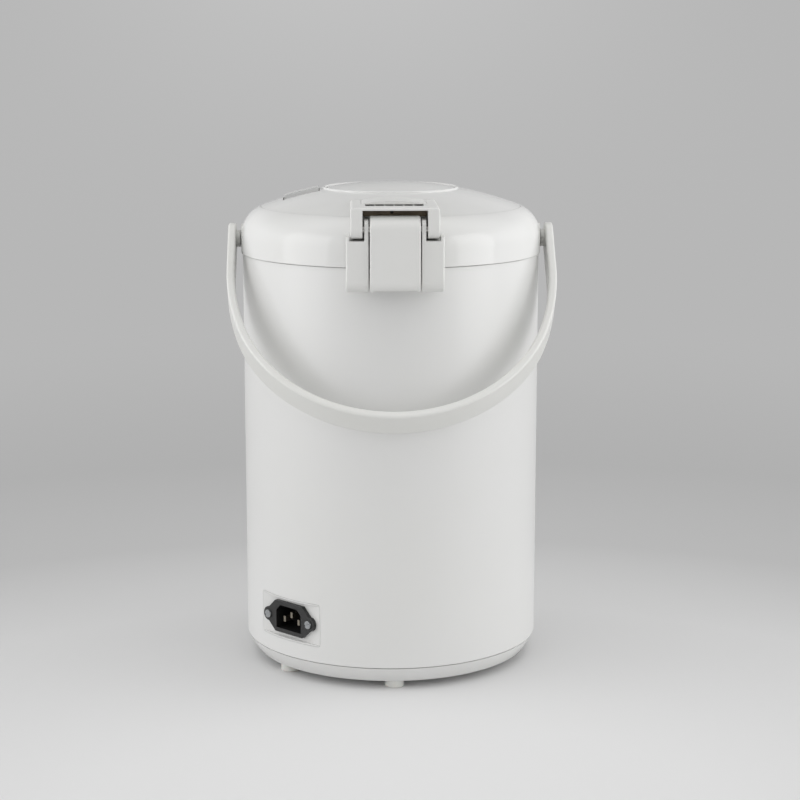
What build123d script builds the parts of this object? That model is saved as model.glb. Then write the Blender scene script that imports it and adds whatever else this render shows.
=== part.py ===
from build123d import *
import math
import os

# Electric thermo pot: a heated, insulated water pot with a pump, a push plate on its lid, a bail
# handle and a base that it turns on.
# Millimetres. +Z is up, the origin is on the pot's axis in the plane of its feet.
# The spout faces -Y, the lid's hinge is at +Y, and the bail turns about an axis along X.

# ---------------------------------------------------------------- clearances
seat_gap = 0.2  # between mouldings that plug into each other
move_gap = 0.4  # between pieces that move past each other
pin_gap = 0.06  # radial, a pin in its bore
seam = 0.4  # open seam between the body and the lid
deck_step = 0.5  # of the frame's deck below the top of the casing

# ---------------------------------------------------------------- swivel base
foot_height = 5.5
foot_radius = 6.7
foot_inset = 7.3  # of the feet's circle inside the ring's lower edge
foot_pair_angle = 53.0  # between the two feet of a pair
foot_stem_radius = 3.0
foot_stem_length = 2.0
base_height = 10.7
base_inset = 6.7  # of the ring's lower edge inside the casing
base_wall = 2.5
base_bulge = 0.5  # how far the ring swells out between its two edges
base_seam = 0.5
hub_radius = 32.0
hub_lift = 4.5
spigot_radius = 14.0
spigot_short = 0.3  # of the spigot above the hub's lower face
retainer_radius = 22.0
retainer_thickness = 2.7
glide_inset = 10.5  # of the glide ring inside the feet's circle
glide_width = 5.0
glide_groove = 1.0
glide_lift = 7.5
glide_rib = 1.5

# ---------------------------------------------------------------- body
body_radius = 105.0
body_height = 275.4
shell_wall = 1.8
floor_thickness = 2.2
floor_rim_height = 6.0
frame_wall = 1.8
frame_skirt = 29.0
deck_width = 13.0
mouth_drop = 5.2
mouth_rim = 3.2
jacket_width = 21.0  # from the inner pot to the outside of the casing
pot_wall = 0.6
pot_lip = 4.5
pot_floor_z = 66.0
pot_corner = 10.0
outlet_stub = 8.0
seal_thickness = 1.0
sleeve_thickness = 10.0
sleeve_top_drop = 26.6  # of the sleeve below the pot's lip
sleeve_band_gap = 4.0
sleeve_slot = 13.0  # half the width of the gap that the gauge tube runs in
wrap_gap = 0.3  # between the inner pot and what is wrapped round it

# ---------------------------------------------------------------- heating
band_low = 100.0
band_height = 28.0
band_thickness = 2.6
heater_gap = 12.0  # between the heater plate and the pump's axis
heater_thickness = 3.4
thermostat_radius = 10.0
bracket_width = 14.0
bracket_thickness = 1.0
bracket_top = 92.0
bracket_foot = 10.0
bracket_angles = (0.0, 120.0, 240.0)
stud_height = 10.6
stud_radius = 4.5
screw_radius = 1.7
screw_head = 3.4
screw_head_height = 2.2

# ---------------------------------------------------------------- pump and water way
pump_inset = 22.0  # of the pump's axis inside the pot's wall
pump_radius = 22.0
pump_wall = 1.6
pump_low = 36.0
pump_height = 12.0
motor_radius = 18.0
motor_height = 13.6
motor_floor = 4.0
magnet_radius = 14.0
magnet_thickness = 2.0
shaft_radius = 1.5
impeller_radius = 17.0
impeller_blades = 6
water_bore = 3.0
tube_wall = 1.0
hose_wall = 1.8
hose_room = 0.6
hose_bend = 6.0
hose_rise = 22.0  # of the delivery hose above the pump's outlet
hose_grip = 8.0  # of a hose over the end of the glass
outlet_bore = 6.0
hose_tail = 8.0  # length of the delivery outlet, half of it inside the chamber's wall
neck_height = 8.0  # of the suction neck above the pump
gauge_top_drop = 30.0  # from the top of the body down to the top of the glass
spout_pipe_drop = 20.0
window_half_width = 7.0
window_low = 82.0
window_top_drop = 70.1  # from the top of the body
window_flange = 3.5
window_reach = 6.0  # of the slot's cutter to either side of the casing

# ---------------------------------------------------------------- mains inlet
inlet_angle = 45.0  # from the rear, towards +X
panel_width = 57.0
panel_height = 30.0
panel_low = 28.0
panel_wall = 2.4
panel_corner = 2.0
flange_width = 50.0
flange_height = 22.5
flange_flat = 27.0
flange_thickness = 2.8
inlet_screw_spacing = 40.0
inlet_head = 2.8
inlet_head_height = 1.2
slot_width = 0.9
slot_depth = 0.6
socket_width = 24.6
socket_height = 16.7
socket_depth = 16.0
socket_wall = 1.6
socket_cut = 4.0  # of its two upper corners
socket_back = 2.0
pin_pitch = 7.0
pin_width = 2.0
pin_height = 4.0
pin_stagger = 2.0
pin_recess = 3.0

# ---------------------------------------------------------------- lid
lid_overhang = 1.1
lid_wall = 2.2
lid_height = 32.4  # from the lid's lower edge to the seam round its top plate
shoulder_radius = 22.5
plate_inset = 14.1  # of the top plate's seam inside the lid's skirt
plate_thickness = 2.0
plate_ledge = 6.0
dome_rise = 16.6
well_radius = 45.4
well_wall = 1.8
well_depth = 40.15
well_bead = 1.2
cup_gap = 1.4  # between the cup and the frame's mouth
cup_wall = 2.0
cup_depth = 7.3
cover_thickness = 2.0
gasket_reach = 5.5
gasket_gap = 0.35
inner_plate_inset = 1.5  # inside the cup
inner_plate_depth = 5.7
inner_plate_wall = 0.8
inner_plate_step = 1.5
steam_holes = 6
valve_radius = 8.0
post_inset = 18.0  # of the screw posts inside the cup
post_radius = 4.0
post_joint_drop = 6.0  # of the posts' joint below the dome
counterbore = 2.6  # depth of the lid screws' heads in the cup's floor

# ---------------------------------------------------------------- push plate
push_travel = 18.0
push_skirt = 15.0
push_stem_radius = 10.0
push_wall = 2.0
bellows_outer = 38.0
bellows_inner = 31.0
bellows_wall = 1.0
bellows_roof = 1.0
bellows_folds = 4
spring_radius = 17.0
spring_wire = 1.6
spring_turns = 4.5

# ---------------------------------------------------------------- lock slide
lock_inset = 3.8  # of the slide outside the well's wall
lock_length = 24.0
lock_width = 12.0
lock_proud = 2.0
lock_travel = 8.0
lock_room = 1.0
lock_shoe_gap = 0.6
lock_shoe = 1.6
lock_shoe_overlap = 2.2

# ---------------------------------------------------------------- bail
pivot_rise = 9.0  # of the bail's pivots above the lid's lower edge
bail_reach = 165.3
bail_straight = 36.0
bail_side_turn = 19.3  # angle that each side turns through before the crown, in degrees
bail_thickness = 5.5
bail_width = 19.0
bail_end_radius = 11.0
bail_side_gap = 3.3
bail_rest_gap = 6.3
bail_edge = 1.6
boss_radius = 6.0
stud_pin_radius = 4.0
ear_radius = 10.5
ear_half_width = 15.0
ear_thickness = 7.5
ear_gap = 1.2

# ---------------------------------------------------------------- hinge
hinge_offset = 11.5  # of the hinge pin behind the body
hinge_rise = 27.0  # of the hinge pin above the lid's lower edge
hinge_pin_radius = 2.5
hinge_width = 64.4
hinge_depth = 17.0
hinge_drop = 14.1  # of the bracket below the top of the body
shoulder_drop = 7.5  # of the bracket's shoulders below the pin
lip_rise = 3.0
lip_width = 2.3
post_width = 2.7
post_rise = 6.4
post_front = 8.5  # of the posts in front of the pin
flap_width = 33.0
flap_gap = 0.9
flap_barrel = 8.7
flap_wall = 3.0
flap_root = 4.0  # of the plate's root in the barrel
flap_edge = 0.7
flap_spring_wire = 0.7
flap_spring_leg = 0.6
flap_spring_coils = 5
flap_spring_drop = 13.0
flap_foot_radius = 6.5
yoke_arm = 7.8
yoke_gap = 1.2
yoke_overhang = 6.7
yoke_heel = 6.2
yoke_top_rise = 14.3
yoke_skin = 1.8
yoke_length = 65.0
trough_length = 11.5
trough_to_pin = 9.0
trough_half_width = 19.2
trough_depth = 4.0
trough_wall = 1.5
hood_length = 34.0
hood_half_width = 22.0
hood_rise = 2.2
vane_count = 5
vane_length = 10.5

# ---------------------------------------------------------------- spout and panel
beak_reach = 60.0
beak_root_half_width = 44.0
beak_front_half_width = 31.0
beak_height = 56.0
beak_front_drop = 8.0
beak_front_height = 24.0
beak_wall = 2.0
beak_corner = 15.0
beak_edge = 3.0
beak_buried = 10.0  # of its root, before the casing's curve is cut away
opening_side = 8.0  # of the beak's underside beside and behind its opening
opening_front = 12.0  # of the beak's underside before its opening
opening_depth = 8.0  # that the opening's cutter reaches into the beak
nozzle_reach = 41.0  # in front of the casing
nozzle_radius = 7.0
nozzle_bore = 4.6
nozzle_drop = 12.0  # below the underside of the beak
nozzle_length = 18.0
nozzle_overlap = 10.0  # of the nozzle's neck below the spout pipe
panel_plate_width = 52.0
panel_plate_length = 40.0
panel_plate_thickness = 1.6
panel_reach = 33.0  # of the panel's middle in front of the casing
panel_plate_corner = 5.0
button_radius = 5.4
button_travel = 1.5
button_proud = 1.2
dispense_length = 26.0
dispense_row = -8.0
button_row = 9.0
button_column = 15.0
button_collar = 1.2
lens_radius = 1.8
lens_column = 4.5
lens_proud = 0.3
board_width = 46.0
board_length = 34.0
board_thickness = 1.6
board_pillar_x = 21.0
board_pillar = 2.0
switch_width = 6.0
switch_height = 2.3

# ---------------------------------------------------------------- lid latch
latch_half_width = 17.6
latch_drop = 3.4  # of its pivot inside the lid's skirt
latch_rise = 16.0  # of its pivot above the lid's lower edge
latch_height = 19.6
latch_gap = 0.3  # round the latch in its window
latch_swing = 10.0  # degrees that the latch tilts by
latch_barrel = 3.6
latch_lip = 7.0
latch_lip_thickness = 2.6
latch_pin_radius = 1.5
hook_half_width = 6.0
hook_thickness = 3.0
hook_set_back = 1.5  # of the hook's outer face behind the pivot
hook_lift = 1.0  # of the drawn hook above the deck
hook_room = 2.0
lug_thickness = 3.0
latch_side_gap = 0.6

# ---------------------------------------------------------------- worked-out sizes
base_bottom_radius = body_radius - base_inset
foot_circle = base_bottom_radius - foot_inset
glide_outer = foot_circle - glide_inset
glide_inner = glide_outer - glide_width
base_top = foot_height + base_height
spigot_end = foot_height + hub_lift - spigot_short
body_low = base_top + base_seam
body_top = body_low + body_height
shell_inner = body_radius - shell_wall
frame_radius = shell_inner - seat_gap
deck_z = body_top - deck_step
pot_radius = body_radius - jacket_width
mouth_radius = pot_radius - pot_wall
mouth_z = deck_z - mouth_drop
rim_low = mouth_z - frame_wall
floor_low = body_low + base_seam
floor_top = floor_low + floor_thickness
lip_top = rim_low - seal_thickness

lid_low = body_top + seam
lid_radius = body_radius + lid_overhang
lid_inner = lid_radius - lid_wall
plate_radius = lid_radius - plate_inset
edge_z = lid_low + lid_height
apex_z = edge_z + dome_rise
dome_radius = (plate_radius**2 + dome_rise**2) / (2 * dome_rise)
dome_centre_z = apex_z - dome_radius
shoulder_x = lid_radius - shoulder_radius
shoulder_angle = math.degrees(math.acos((plate_radius - shoulder_x) / shoulder_radius))
shoulder_z = edge_z - shoulder_radius * math.sin(math.radians(shoulder_angle))
ledge_z = edge_z - plate_thickness
cover_low = lid_low + seam
cup_floor = cover_low - cup_depth
cup_radius = mouth_radius - cup_gap
post_circle = cup_radius - post_inset
inner_plate_radius = cup_radius - inner_plate_inset
lock_start = well_radius + well_wall + lock_inset
well_low = apex_z - plate_thickness - well_depth

pivot_z = lid_low + pivot_rise
arm_inner = lid_radius + bail_side_gap
bail_half_width = arm_inner + bail_thickness
bail_inner_reach = bail_reach - bail_thickness
stow_angle = math.degrees(
    math.asin((body_radius + bail_rest_gap) / math.hypot(bail_inner_reach, bail_width / 2))
    + math.atan2(bail_width / 2, bail_inner_reach)
)

hinge_y = body_radius + hinge_offset
hinge_z = lid_low + hinge_rise
hinge_back = body_radius + hinge_depth
shoulder_level = hinge_z - shoulder_drop
post_inner = flap_width / 2 + flap_gap
post_outer = post_inner + post_width
yoke_inner = post_outer + yoke_gap
yoke_outer = yoke_inner + yoke_arm
yoke_back = hinge_y + yoke_overhang
yoke_top = hinge_z + yoke_top_rise
channel_y = hinge_y - flap_barrel - 0.5
trough_back = hinge_y - trough_to_pin
trough_front = trough_back - trough_length
bracket_clear = lid_radius + 2 * move_gap

beak_front = -(body_radius + beak_reach)
beak_top_z = body_top - seat_gap
nozzle_y = -(body_radius + nozzle_reach)
panel_plate_y = -(body_radius + panel_reach)
pipe_z = body_top - spout_pipe_drop
glass_top = body_top - gauge_top_drop
latch_y = -(lid_radius - 2 * latch_drop)
latch_z = lid_low + latch_rise
latch_top = lid_low + 2 * move_gap + latch_height
window_height = body_top - window_top_drop - window_low
gauge_y = -(pot_radius + shell_inner) / 2
pump_y = pump_inset - pot_radius
heater_radius = -pump_y - heater_gap
pump_top = pump_low + pump_height
outlet_z = pump_low + pump_height / 2
bore_in_hose = water_bore + tube_wall
hose_outer = bore_in_hose + hose_wall
band_inner = pot_radius + wrap_gap
latch_window = latch_half_width + latch_side_gap
steam_y = trough_front - 9
steam_radius = 3.5
pocket_front = trough_front - 14
spring_slot = 5.0
board_depth = panel_plate_thickness + move_gap + button_collar + button_travel + switch_height


# ---------------------------------------------------------------- small builders
def turned(*outline):
    """Solid of revolution about the pot's axis; each point is (radius, height)."""
    return revolve(make_face(Polyline(*[(r, 0, z) for r, z in outline], close=True)), Axis.Z)


def ring(inner, outer, low, high):
    """Plain ring about the pot's axis."""
    return turned((inner, low), (outer, low), (outer, high), (inner, high))


def disc(radius, low, high, x=0.0, y=0.0):
    """Upright cylinder between two heights."""
    return Pos(x, y, (low + high) / 2) * Cylinder(radius, high - low)


def pipe(inner, outer, low, high, x=0.0, y=0.0):
    """Upright tube between two heights."""
    return disc(outer, low, high, x, y) - disc(inner, low - 1, high + 1, x, y)


def block(x_low, x_high, y_low, y_high, z_low, z_high):
    """Box between its two corners."""
    centre = ((x_low + x_high) / 2, (y_low + y_high) / 2, (z_low + z_high) / 2)
    return Pos(*centre) * Box(x_high - x_low, y_high - y_low, z_high - z_low)


def level_edges(piece):
    """Edges that lie flat at one height."""
    return piece.edges().filter_by(lambda edge: edge.bounding_box().size.Z < 0.01)


def cross_rod(radius, half_length, y, z, x=0.0):
    """Cylinder along X."""
    return Pos(x, y, z) * Rot(0, 90, 0) * Cylinder(radius, 2 * half_length)


def side_profile(half_width, *outline):
    """Outline in (y, z), made as wide as stated across X."""
    face = make_face(Polyline(*[(0, y, z) for y, z in outline], close=True))
    return extrude(face, amount=half_width, dir=(1, 0, 0), both=True)


def arc_xz(centre_x, centre_z, radius, start, end):
    """Arc in the XZ plane between two angles, in degrees from +X."""
    points = []
    for angle in (start, (start + end) / 2, end):
        turn = math.radians(angle)
        points.append((centre_x + radius * math.cos(turn), 0, centre_z + radius * math.sin(turn)))
    return ThreePointArc(*points)


def dome_z(radius, lift=0.0):
    """Height of the dome, or of a dome lifted off it, at a radius."""
    return dome_centre_z + math.sqrt((dome_radius + lift) ** 2 - radius**2)


def dome_arc(inner, outer, lift=0.0):
    """Part of the dome's profile between two radii."""
    size = dome_radius + lift
    first = math.degrees(math.acos(outer / size))
    last = math.degrees(math.acos(inner / size))
    return arc_xz(0, dome_centre_z, size, first, last)


def dome_cap(outer, lift, low):
    """Everything under the dome inside a radius and above a height."""
    top = dome_z(outer, lift)
    walls = Line((0, 0, dome_z(0, lift)), (0, 0, low)) + Line((0, 0, low), (outer, 0, low))
    profile = walls + Line((outer, 0, low), (outer, 0, top)) + dome_arc(0, outer, lift)
    return revolve(make_face(profile), Axis.Z)


def lid_envelope():
    """Everything inside the lid's outer surface."""
    profile = Line((0, 0, apex_z), (0, 0, lid_low)) + Line((0, 0, lid_low), (lid_radius, 0, lid_low))
    profile += Line((lid_radius, 0, lid_low), (lid_radius, 0, shoulder_z))
    profile += arc_xz(shoulder_x, shoulder_z, shoulder_radius, 0, shoulder_angle)
    profile += dome_arc(0, plate_radius)
    return revolve(make_face(profile), Axis.Z)


def ear_outline(grow, depth):
    """Arch of the bail's ear seen along X: a tapered foot under a round head at the pivot."""
    foot = side_profile(
        bail_half_width + 5,
        (-ear_half_width - grow, deck_z - depth),
        (ear_half_width + grow, deck_z - depth),
        (ear_radius + grow, pivot_z),
        (-ear_radius - grow, pivot_z),
    )
    return foot + cross_rod(ear_radius + grow, bail_half_width + 5, 0, pivot_z)


# ---------------------------------------------------------------- swivel base
def swivel_base():
    """Dished ring on the feet, with a hub for the spigot and a groove for the glide ring."""
    rib_top = foot_height + glide_lift
    deck = foot_height + base_wall
    hub_top = deck + hub_lift
    wall_top = body_radius - seat_gap
    middle = ((base_bottom_radius + wall_top) / 2 + base_bulge, 0, (foot_height + base_top) / 2)
    outside = ThreePointArc((base_bottom_radius, 0, foot_height), middle, (wall_top, 0, base_top))
    rest = Polyline(
        (wall_top, 0, base_top),
        (wall_top - base_wall, 0, base_top),
        (base_bottom_radius - glide_rib, 0, deck),
        (glide_outer + glide_rib, 0, deck),
        (glide_outer + glide_rib, 0, rib_top),
        (glide_outer, 0, rib_top),
        (glide_outer, 0, rib_top - glide_groove),
        (glide_inner, 0, rib_top - glide_groove),
        (glide_inner, 0, rib_top),
        (glide_inner - glide_rib, 0, rib_top),
        (glide_inner - glide_rib, 0, deck),
        (hub_radius + 2, 0, deck),
        (hub_radius, 0, hub_top),
        (spigot_radius, 0, hub_top),
        (spigot_radius, 0, hub_top - base_wall),
        (hub_radius - 2, 0, hub_top - base_wall),
        (hub_radius, 0, foot_height),
        (base_bottom_radius, 0, foot_height),
    )
    base = revolve(make_face(outside + rest), Axis.Z)
    for angle in foot_angles():
        base -= Rot(0, 0, angle) * disc(foot_stem_radius, 0, foot_height + foot_stem_length, foot_circle)
    return base


def foot_angles():
    """Two opposite pairs of feet, counted from +X."""
    return [90.0, 90.0 - foot_pair_angle, 270.0, 270.0 - foot_pair_angle]


def base_feet():
    """Rubber feet with a stem in the base."""
    pad = fillet(disc(foot_radius, 0, foot_height, foot_circle).edges().sort_by(Axis.Z)[0], 1.0)
    foot = pad + disc(foot_stem_radius, foot_height - 1, foot_height + foot_stem_length, foot_circle)
    return Compound(children=[Rot(0, 0, angle) * foot for angle in foot_angles()])


def glide_ring():
    """Nylon ring that the pot turns on."""
    return ring(glide_inner, glide_outer, foot_height + glide_lift - glide_groove, floor_low - seat_gap)


# ---------------------------------------------------------------- body
def outer_shell():
    """Cylindrical casing with its openings."""
    shell = ring(shell_inner, body_radius, body_low, body_top)
    shell -= inlet_cutter(seat_gap)
    shell -= window_slot(window_half_width)
    return shell - pipe_hole() - bracket_screw_holes()


def bottom_plate():
    """Moulded floor with a rim, studs for the tie brackets and the spigot that the pot turns on."""
    spigot = spigot_radius - pin_gap
    plate = turned(
        (0, spigot_end),
        (spigot, spigot_end),
        (spigot, floor_low),
        (frame_radius, floor_low),
        (frame_radius, floor_top + floor_rim_height),
        (frame_radius - floor_thickness, floor_top + floor_rim_height),
        (frame_radius - floor_thickness, floor_top),
        (0, floor_top),
    )
    stud_top = floor_top + stud_height
    for angle in bracket_angles:
        place = Rot(0, 0, angle)
        plate += place * disc(stud_radius, floor_top, stud_top, bracket_hole_radius())
        plate -= place * disc(screw_radius, 0, stud_top + 1, bracket_hole_radius())
    return plate - disc(screw_radius, 0, spigot_end + 8)


def swivel_retainer():
    """Washer under the hub that keeps the base on the pot."""
    return pipe(screw_radius, retainer_radius, spigot_end - retainer_thickness, spigot_end)


def base_screws():
    """Screws of the retainer and of the tie brackets."""
    top = spigot_end - retainer_thickness
    screws = [disc(screw_head, top - 1, top) + disc(screw_radius, top - 1, top + 9)]
    tip = floor_top + stud_height + bracket_thickness
    for angle in bracket_angles:
        shank = disc(screw_radius, floor_low - 1, tip, bracket_hole_radius())
        head = disc(screw_head, floor_low - screw_head_height, floor_low, bracket_hole_radius())
        screws.append(Rot(0, 0, angle) * (shank + head))
    return Compound(children=screws)


def bracket_hole_radius():
    """Radius of the circle that the tie brackets are screwed on."""
    return pot_radius + bracket_thickness + bracket_foot / 2


def tie_brackets():
    """Strips from the inner pot's wall down to the studs of the floor."""
    low = floor_top + stud_height
    start = pot_radius
    half = bracket_width / 2
    end = start + bracket_thickness + bracket_foot
    strip = ring(start, start + bracket_thickness, low, bracket_top)
    strip &= block(0, end, -half, half, low, bracket_top)
    foot = block(start + bracket_thickness / 2, end, -half, half, low, low + bracket_thickness)
    bracket = strip + foot - disc(screw_radius, low - 1, low + 5, bracket_hole_radius())
    return Compound(children=[Rot(0, 0, angle) * bracket for angle in bracket_angles])


def top_frame():
    """Ring that closes the top of the body: deck, mouth, skirt and the two ears of the bail."""
    outer = frame_radius
    slope_top = outer - deck_width
    frame = turned(
        (mouth_radius, rim_low),
        (mouth_radius, mouth_z),
        (slope_top, deck_z),
        (outer, deck_z),
        (outer, deck_z - frame_skirt),
        (outer - frame_wall, deck_z - frame_skirt),
        (outer - frame_wall, deck_z - frame_wall),
        (slope_top + 1, deck_z - frame_wall),
        (mouth_radius + mouth_rim, rim_low + 1.5),
        (mouth_radius + mouth_rim, rim_low),
    )
    ear_inner = lid_radius - ear_thickness
    upper = ring(ear_inner, lid_radius - 0.1, body_top + seat_gap, pivot_z + 20)
    lower = ring(ear_inner, outer - 0.3, deck_z - 1, body_top + seat_gap)
    frame += (upper + lower) & ear_outline(0, 4)
    frame -= cross_rod(stud_pin_radius + pin_gap, bail_half_width, 0, pivot_z)
    slot_half = hook_half_width + hook_room
    frame -= block(-slot_half, slot_half, -outer + frame_wall, -slope_top - 2, deck_z - 4, deck_z + 1)
    return frame - pipe_hole() - bracket_screw_holes()


def pipe_hole():
    """Hole for the spout pipe through the front of the casing and the frame."""
    return Pos(0, -body_radius, pipe_z) * Rot(90, 0, 0) * Cylinder(hose_outer + hose_room, 20)


def inner_pot():
    """Drawn stainless pot with a lip and an outlet stub in its floor."""
    outer = disc(pot_radius, pot_floor_z, lip_top)
    outer = fillet(outer.edges().sort_by(Axis.Z)[0], pot_corner)
    inner = disc(mouth_radius, pot_floor_z + pot_wall, lip_top + 1)
    inner = fillet(inner.edges().sort_by(Axis.Z)[0], pot_corner - pot_wall)
    lip = ring(pot_radius - pot_wall / 2, pot_radius + pot_lip, lip_top - pot_wall, lip_top)
    stub_low = pot_floor_z - outlet_stub
    stub = disc(outlet_bore + tube_wall, stub_low, pot_floor_z + pot_wall / 2, 0, pump_y)
    return outer - inner + lip + stub - disc(outlet_bore, stub_low - 1, pot_floor_z + 2, 0, pump_y)


def mouth_seal():
    """Silicone ring between the pot's lip and the frame."""
    return ring(mouth_radius + seat_gap, mouth_radius + mouth_rim - seat_gap, lip_top, rim_low)


def insulation_sleeve():
    """Felt round the inner pot, open at the front for the gauge tube."""
    low = band_low + band_height + sleeve_band_gap
    high = lip_top - sleeve_top_drop
    sleeve = ring(band_inner, pot_radius + sleeve_thickness, low, high)
    return sleeve - block(-sleeve_slot, sleeve_slot, -body_radius, 0, low - 1, high + 1)


# ---------------------------------------------------------------- heating
def heater_band():
    """Band heater with its clamping flanges at the rear."""
    outer = band_inner + band_thickness
    high = band_low + band_height
    band = ring(band_inner, outer, band_low, high)
    ears = block(-4, 4, pot_radius + 1, outer + 7, band_low + 4, high - 4)
    return band + ears - block(-1, 1, pot_radius - 3, outer + 9, band_low - 1, high + 1)


def heater_plate():
    """Sheathed heater under the pot's floor."""
    top = pot_floor_z - seat_gap
    low = top - heater_thickness
    plate = pipe(thermostat_radius + 1, heater_radius, low, top)
    tube = Pos(0, 0, low) * Torus((thermostat_radius + heater_radius) / 2, 3)
    return plate + tube


def thermostat():
    """Snap-disc thermostat against the pot's floor."""
    top = pot_floor_z - seat_gap
    case = disc(thermostat_radius, top - 6, top) + disc(thermostat_radius - 2, top - 11, top - 6)
    for side in (-1, 1):
        low_x, high_x = sorted((side * 3.8, side * 5.4))
        case += block(low_x, high_x, -3, 3, top - 18, top - 11)
    return case


# ---------------------------------------------------------------- pump and water way
def pump_housing():
    """Round pump chamber with the impeller's pin and the outlet towards the front."""
    outer = disc(pump_radius, pump_low, pump_top - pump_wall, 0, pump_y)
    chamber = disc(pump_radius - pump_wall, pump_low + pump_wall, pump_top, 0, pump_y)
    outlet = Pos(0, pump_y - pump_radius, outlet_z) * Rot(90, 0, 0)
    tail = outlet * Cylinder(bore_in_hose, hose_tail)
    housing = outer + tail - outlet * Cylinder(water_bore, 1.5 * hose_tail) - chamber
    return housing + disc(shaft_radius, pump_low, pump_top - pump_wall - 2, 0, pump_y)


def pump_cover():
    """Lid of the pump chamber with the suction neck."""
    neck_top = pump_top + neck_height
    cover = disc(pump_radius, pump_top - pump_wall, pump_top, 0, pump_y)
    cover += disc(outlet_bore, pump_top - pump_wall, neck_top, 0, pump_y)
    return cover - disc(outlet_bore - tube_wall, pump_top - 5, neck_top + 1, 0, pump_y)


def impeller():
    """Shrouded wheel with curved blades on the pump's pin."""
    low = pump_low + pump_wall + move_gap
    height = pump_height - 2 * pump_wall - 2 * move_gap - 1
    hub_size = 3.5
    wheel = disc(impeller_radius, low, low + 1.2) + disc(hub_size, low, low + height)
    middle = (impeller_radius + hub_size) / 2
    path = ThreePointArc((hub_size - 0.5, 0), (middle, middle * 0.3), (impeller_radius - 0.6, 0))
    blade_face = make_face(offset(path, 0.5, side=Side.BOTH).edges())
    blade = extrude(Pos(0, 0, low) * blade_face, amount=height)
    for index in range(impeller_blades):
        wheel += Rot(0, 0, index * 360 / impeller_blades) * blade
    return Pos(0, pump_y, 0) * (wheel - disc(shaft_radius + pin_gap, 0, pump_top))


def pump_motor():
    """Flat motor on the floor."""
    top = floor_top + motor_height
    can = fillet(disc(motor_radius, floor_top, top, 0, pump_y).edges().sort_by(Axis.Z)[-1], 1.5)
    return can - disc(shaft_radius + pin_gap, floor_top + motor_floor, top + 1, 0, pump_y)


def drive_magnet():
    """Magnet disc on the motor's shaft, under the pump."""
    top = pump_low - move_gap
    shaft = disc(shaft_radius, floor_top + motor_floor + move_gap, top - 0.5, 0, pump_y)
    return disc(magnet_radius, top - magnet_thickness, top, 0, pump_y) + shaft


def suction_hose():
    """Hose between the pot's stub and the pump's neck."""
    inner = outlet_bore + tube_wall
    low = pot_floor_z - outlet_stub
    hose = pipe(inner, inner + hose_wall, low, pot_floor_z - 1, 0, pump_y)
    return hose + pipe(outlet_bore, inner + hose_wall, pump_top + 1, low, 0, pump_y)


def bent_hose(points, bend):
    """Hose along a route in the plane x = 0, with an arc at each corner."""
    route = FilletPolyline(*[(0, y, z) for y, z in points], radius=bend)
    start = Plane(origin=route @ 0, z_dir=route % 0)
    return sweep(start * (Circle(hose_outer) - Circle(bore_in_hose)), path=route)


def delivery_hose():
    """Hose from the pump's outlet up to the gauge glass."""
    start = pump_y - pump_radius - 0.5
    return bent_hose([(start, outlet_z), (gauge_y, outlet_z), (gauge_y, outlet_z + hose_rise)], hose_bend)


def gauge_tube():
    """Glass that the water rises in, seen through the window."""
    return pipe(water_bore, bore_in_hose, outlet_z + hose_rise - hose_grip, glass_top, 0, gauge_y)


def spout_pipe():
    """Hose from the gauge glass over to the nozzle."""
    rise = [(gauge_y, glass_top - hose_grip), (gauge_y, pipe_z)]
    fall = [(nozzle_y, pipe_z), (nozzle_y, nozzle_low() + nozzle_length)]
    return bent_hose(rise + fall, 8.0)


def nozzle():
    """Outlet tube that hangs out of the beak."""
    top = pipe_z - nozzle_overlap
    low = nozzle_low()
    tube = disc(bore_in_hose, low + 14, top) + disc(nozzle_radius, low, low + nozzle_length)
    tube = fillet(tube.edges().sort_by(Axis.Z)[0], 1.0)
    tube -= disc(nozzle_bore, low - 1, low + nozzle_length - 2)
    return Pos(0, nozzle_y, 0) * (tube - disc(water_bore, low, top + 1))


def nozzle_low():
    """Height of the nozzle's mouth."""
    return beak_underside_z(nozzle_y) - nozzle_drop


def window_slot(half_width, grow=0.0):
    """Upright slot with round ends through the front of the casing."""
    low = window_low - grow + half_width
    high = window_low + window_height + grow - half_width
    back = -body_radius + window_reach
    slot = block(-half_width, half_width, -body_radius - window_reach, back, low, high)
    for z in (low, high):
        slot += Pos(0, -body_radius, z) * Rot(90, 0, 0) * Cylinder(half_width, 2 * window_reach)
    return slot


def gauge_window():
    """Clear strip in the casing's slot, with a flange behind it."""
    high = window_low + window_height
    strip = ring(shell_inner - 0.1, body_radius, window_low, high)
    strip &= window_slot(window_half_width - seat_gap, -seat_gap)
    flange = ring(shell_inner - shell_wall, shell_inner, window_low - window_flange, high + window_flange)
    return strip + (flange & window_slot(window_half_width + window_flange, window_flange))


# ---------------------------------------------------------------- mains inlet
def inlet_place(depth=0.0):
    """Plane of the inlet panel's flat face: x along the panel, y up, z outwards."""
    turn = math.radians(inlet_angle)
    outward = (math.sin(turn), math.cos(turn), 0)
    along = (-math.cos(turn), math.sin(turn), 0)
    reach = panel_distance() + depth
    origin = (outward[0] * reach, outward[1] * reach, panel_low + panel_height / 2)
    return Plane(origin=origin, x_dir=along, z_dir=outward)


def panel_distance():
    """Distance of the panel's flat face from the pot's axis."""
    return math.sqrt(body_radius**2 - (panel_width / 2) ** 2)


def inlet_cutter(grow):
    """Opening for the panel through the casing."""
    corner = panel_corner + grow
    outline = RectangleRounded(panel_width + 2 * grow, panel_height + 2 * grow, corner)
    return extrude(inlet_place(-8) * outline, amount=20)


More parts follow.
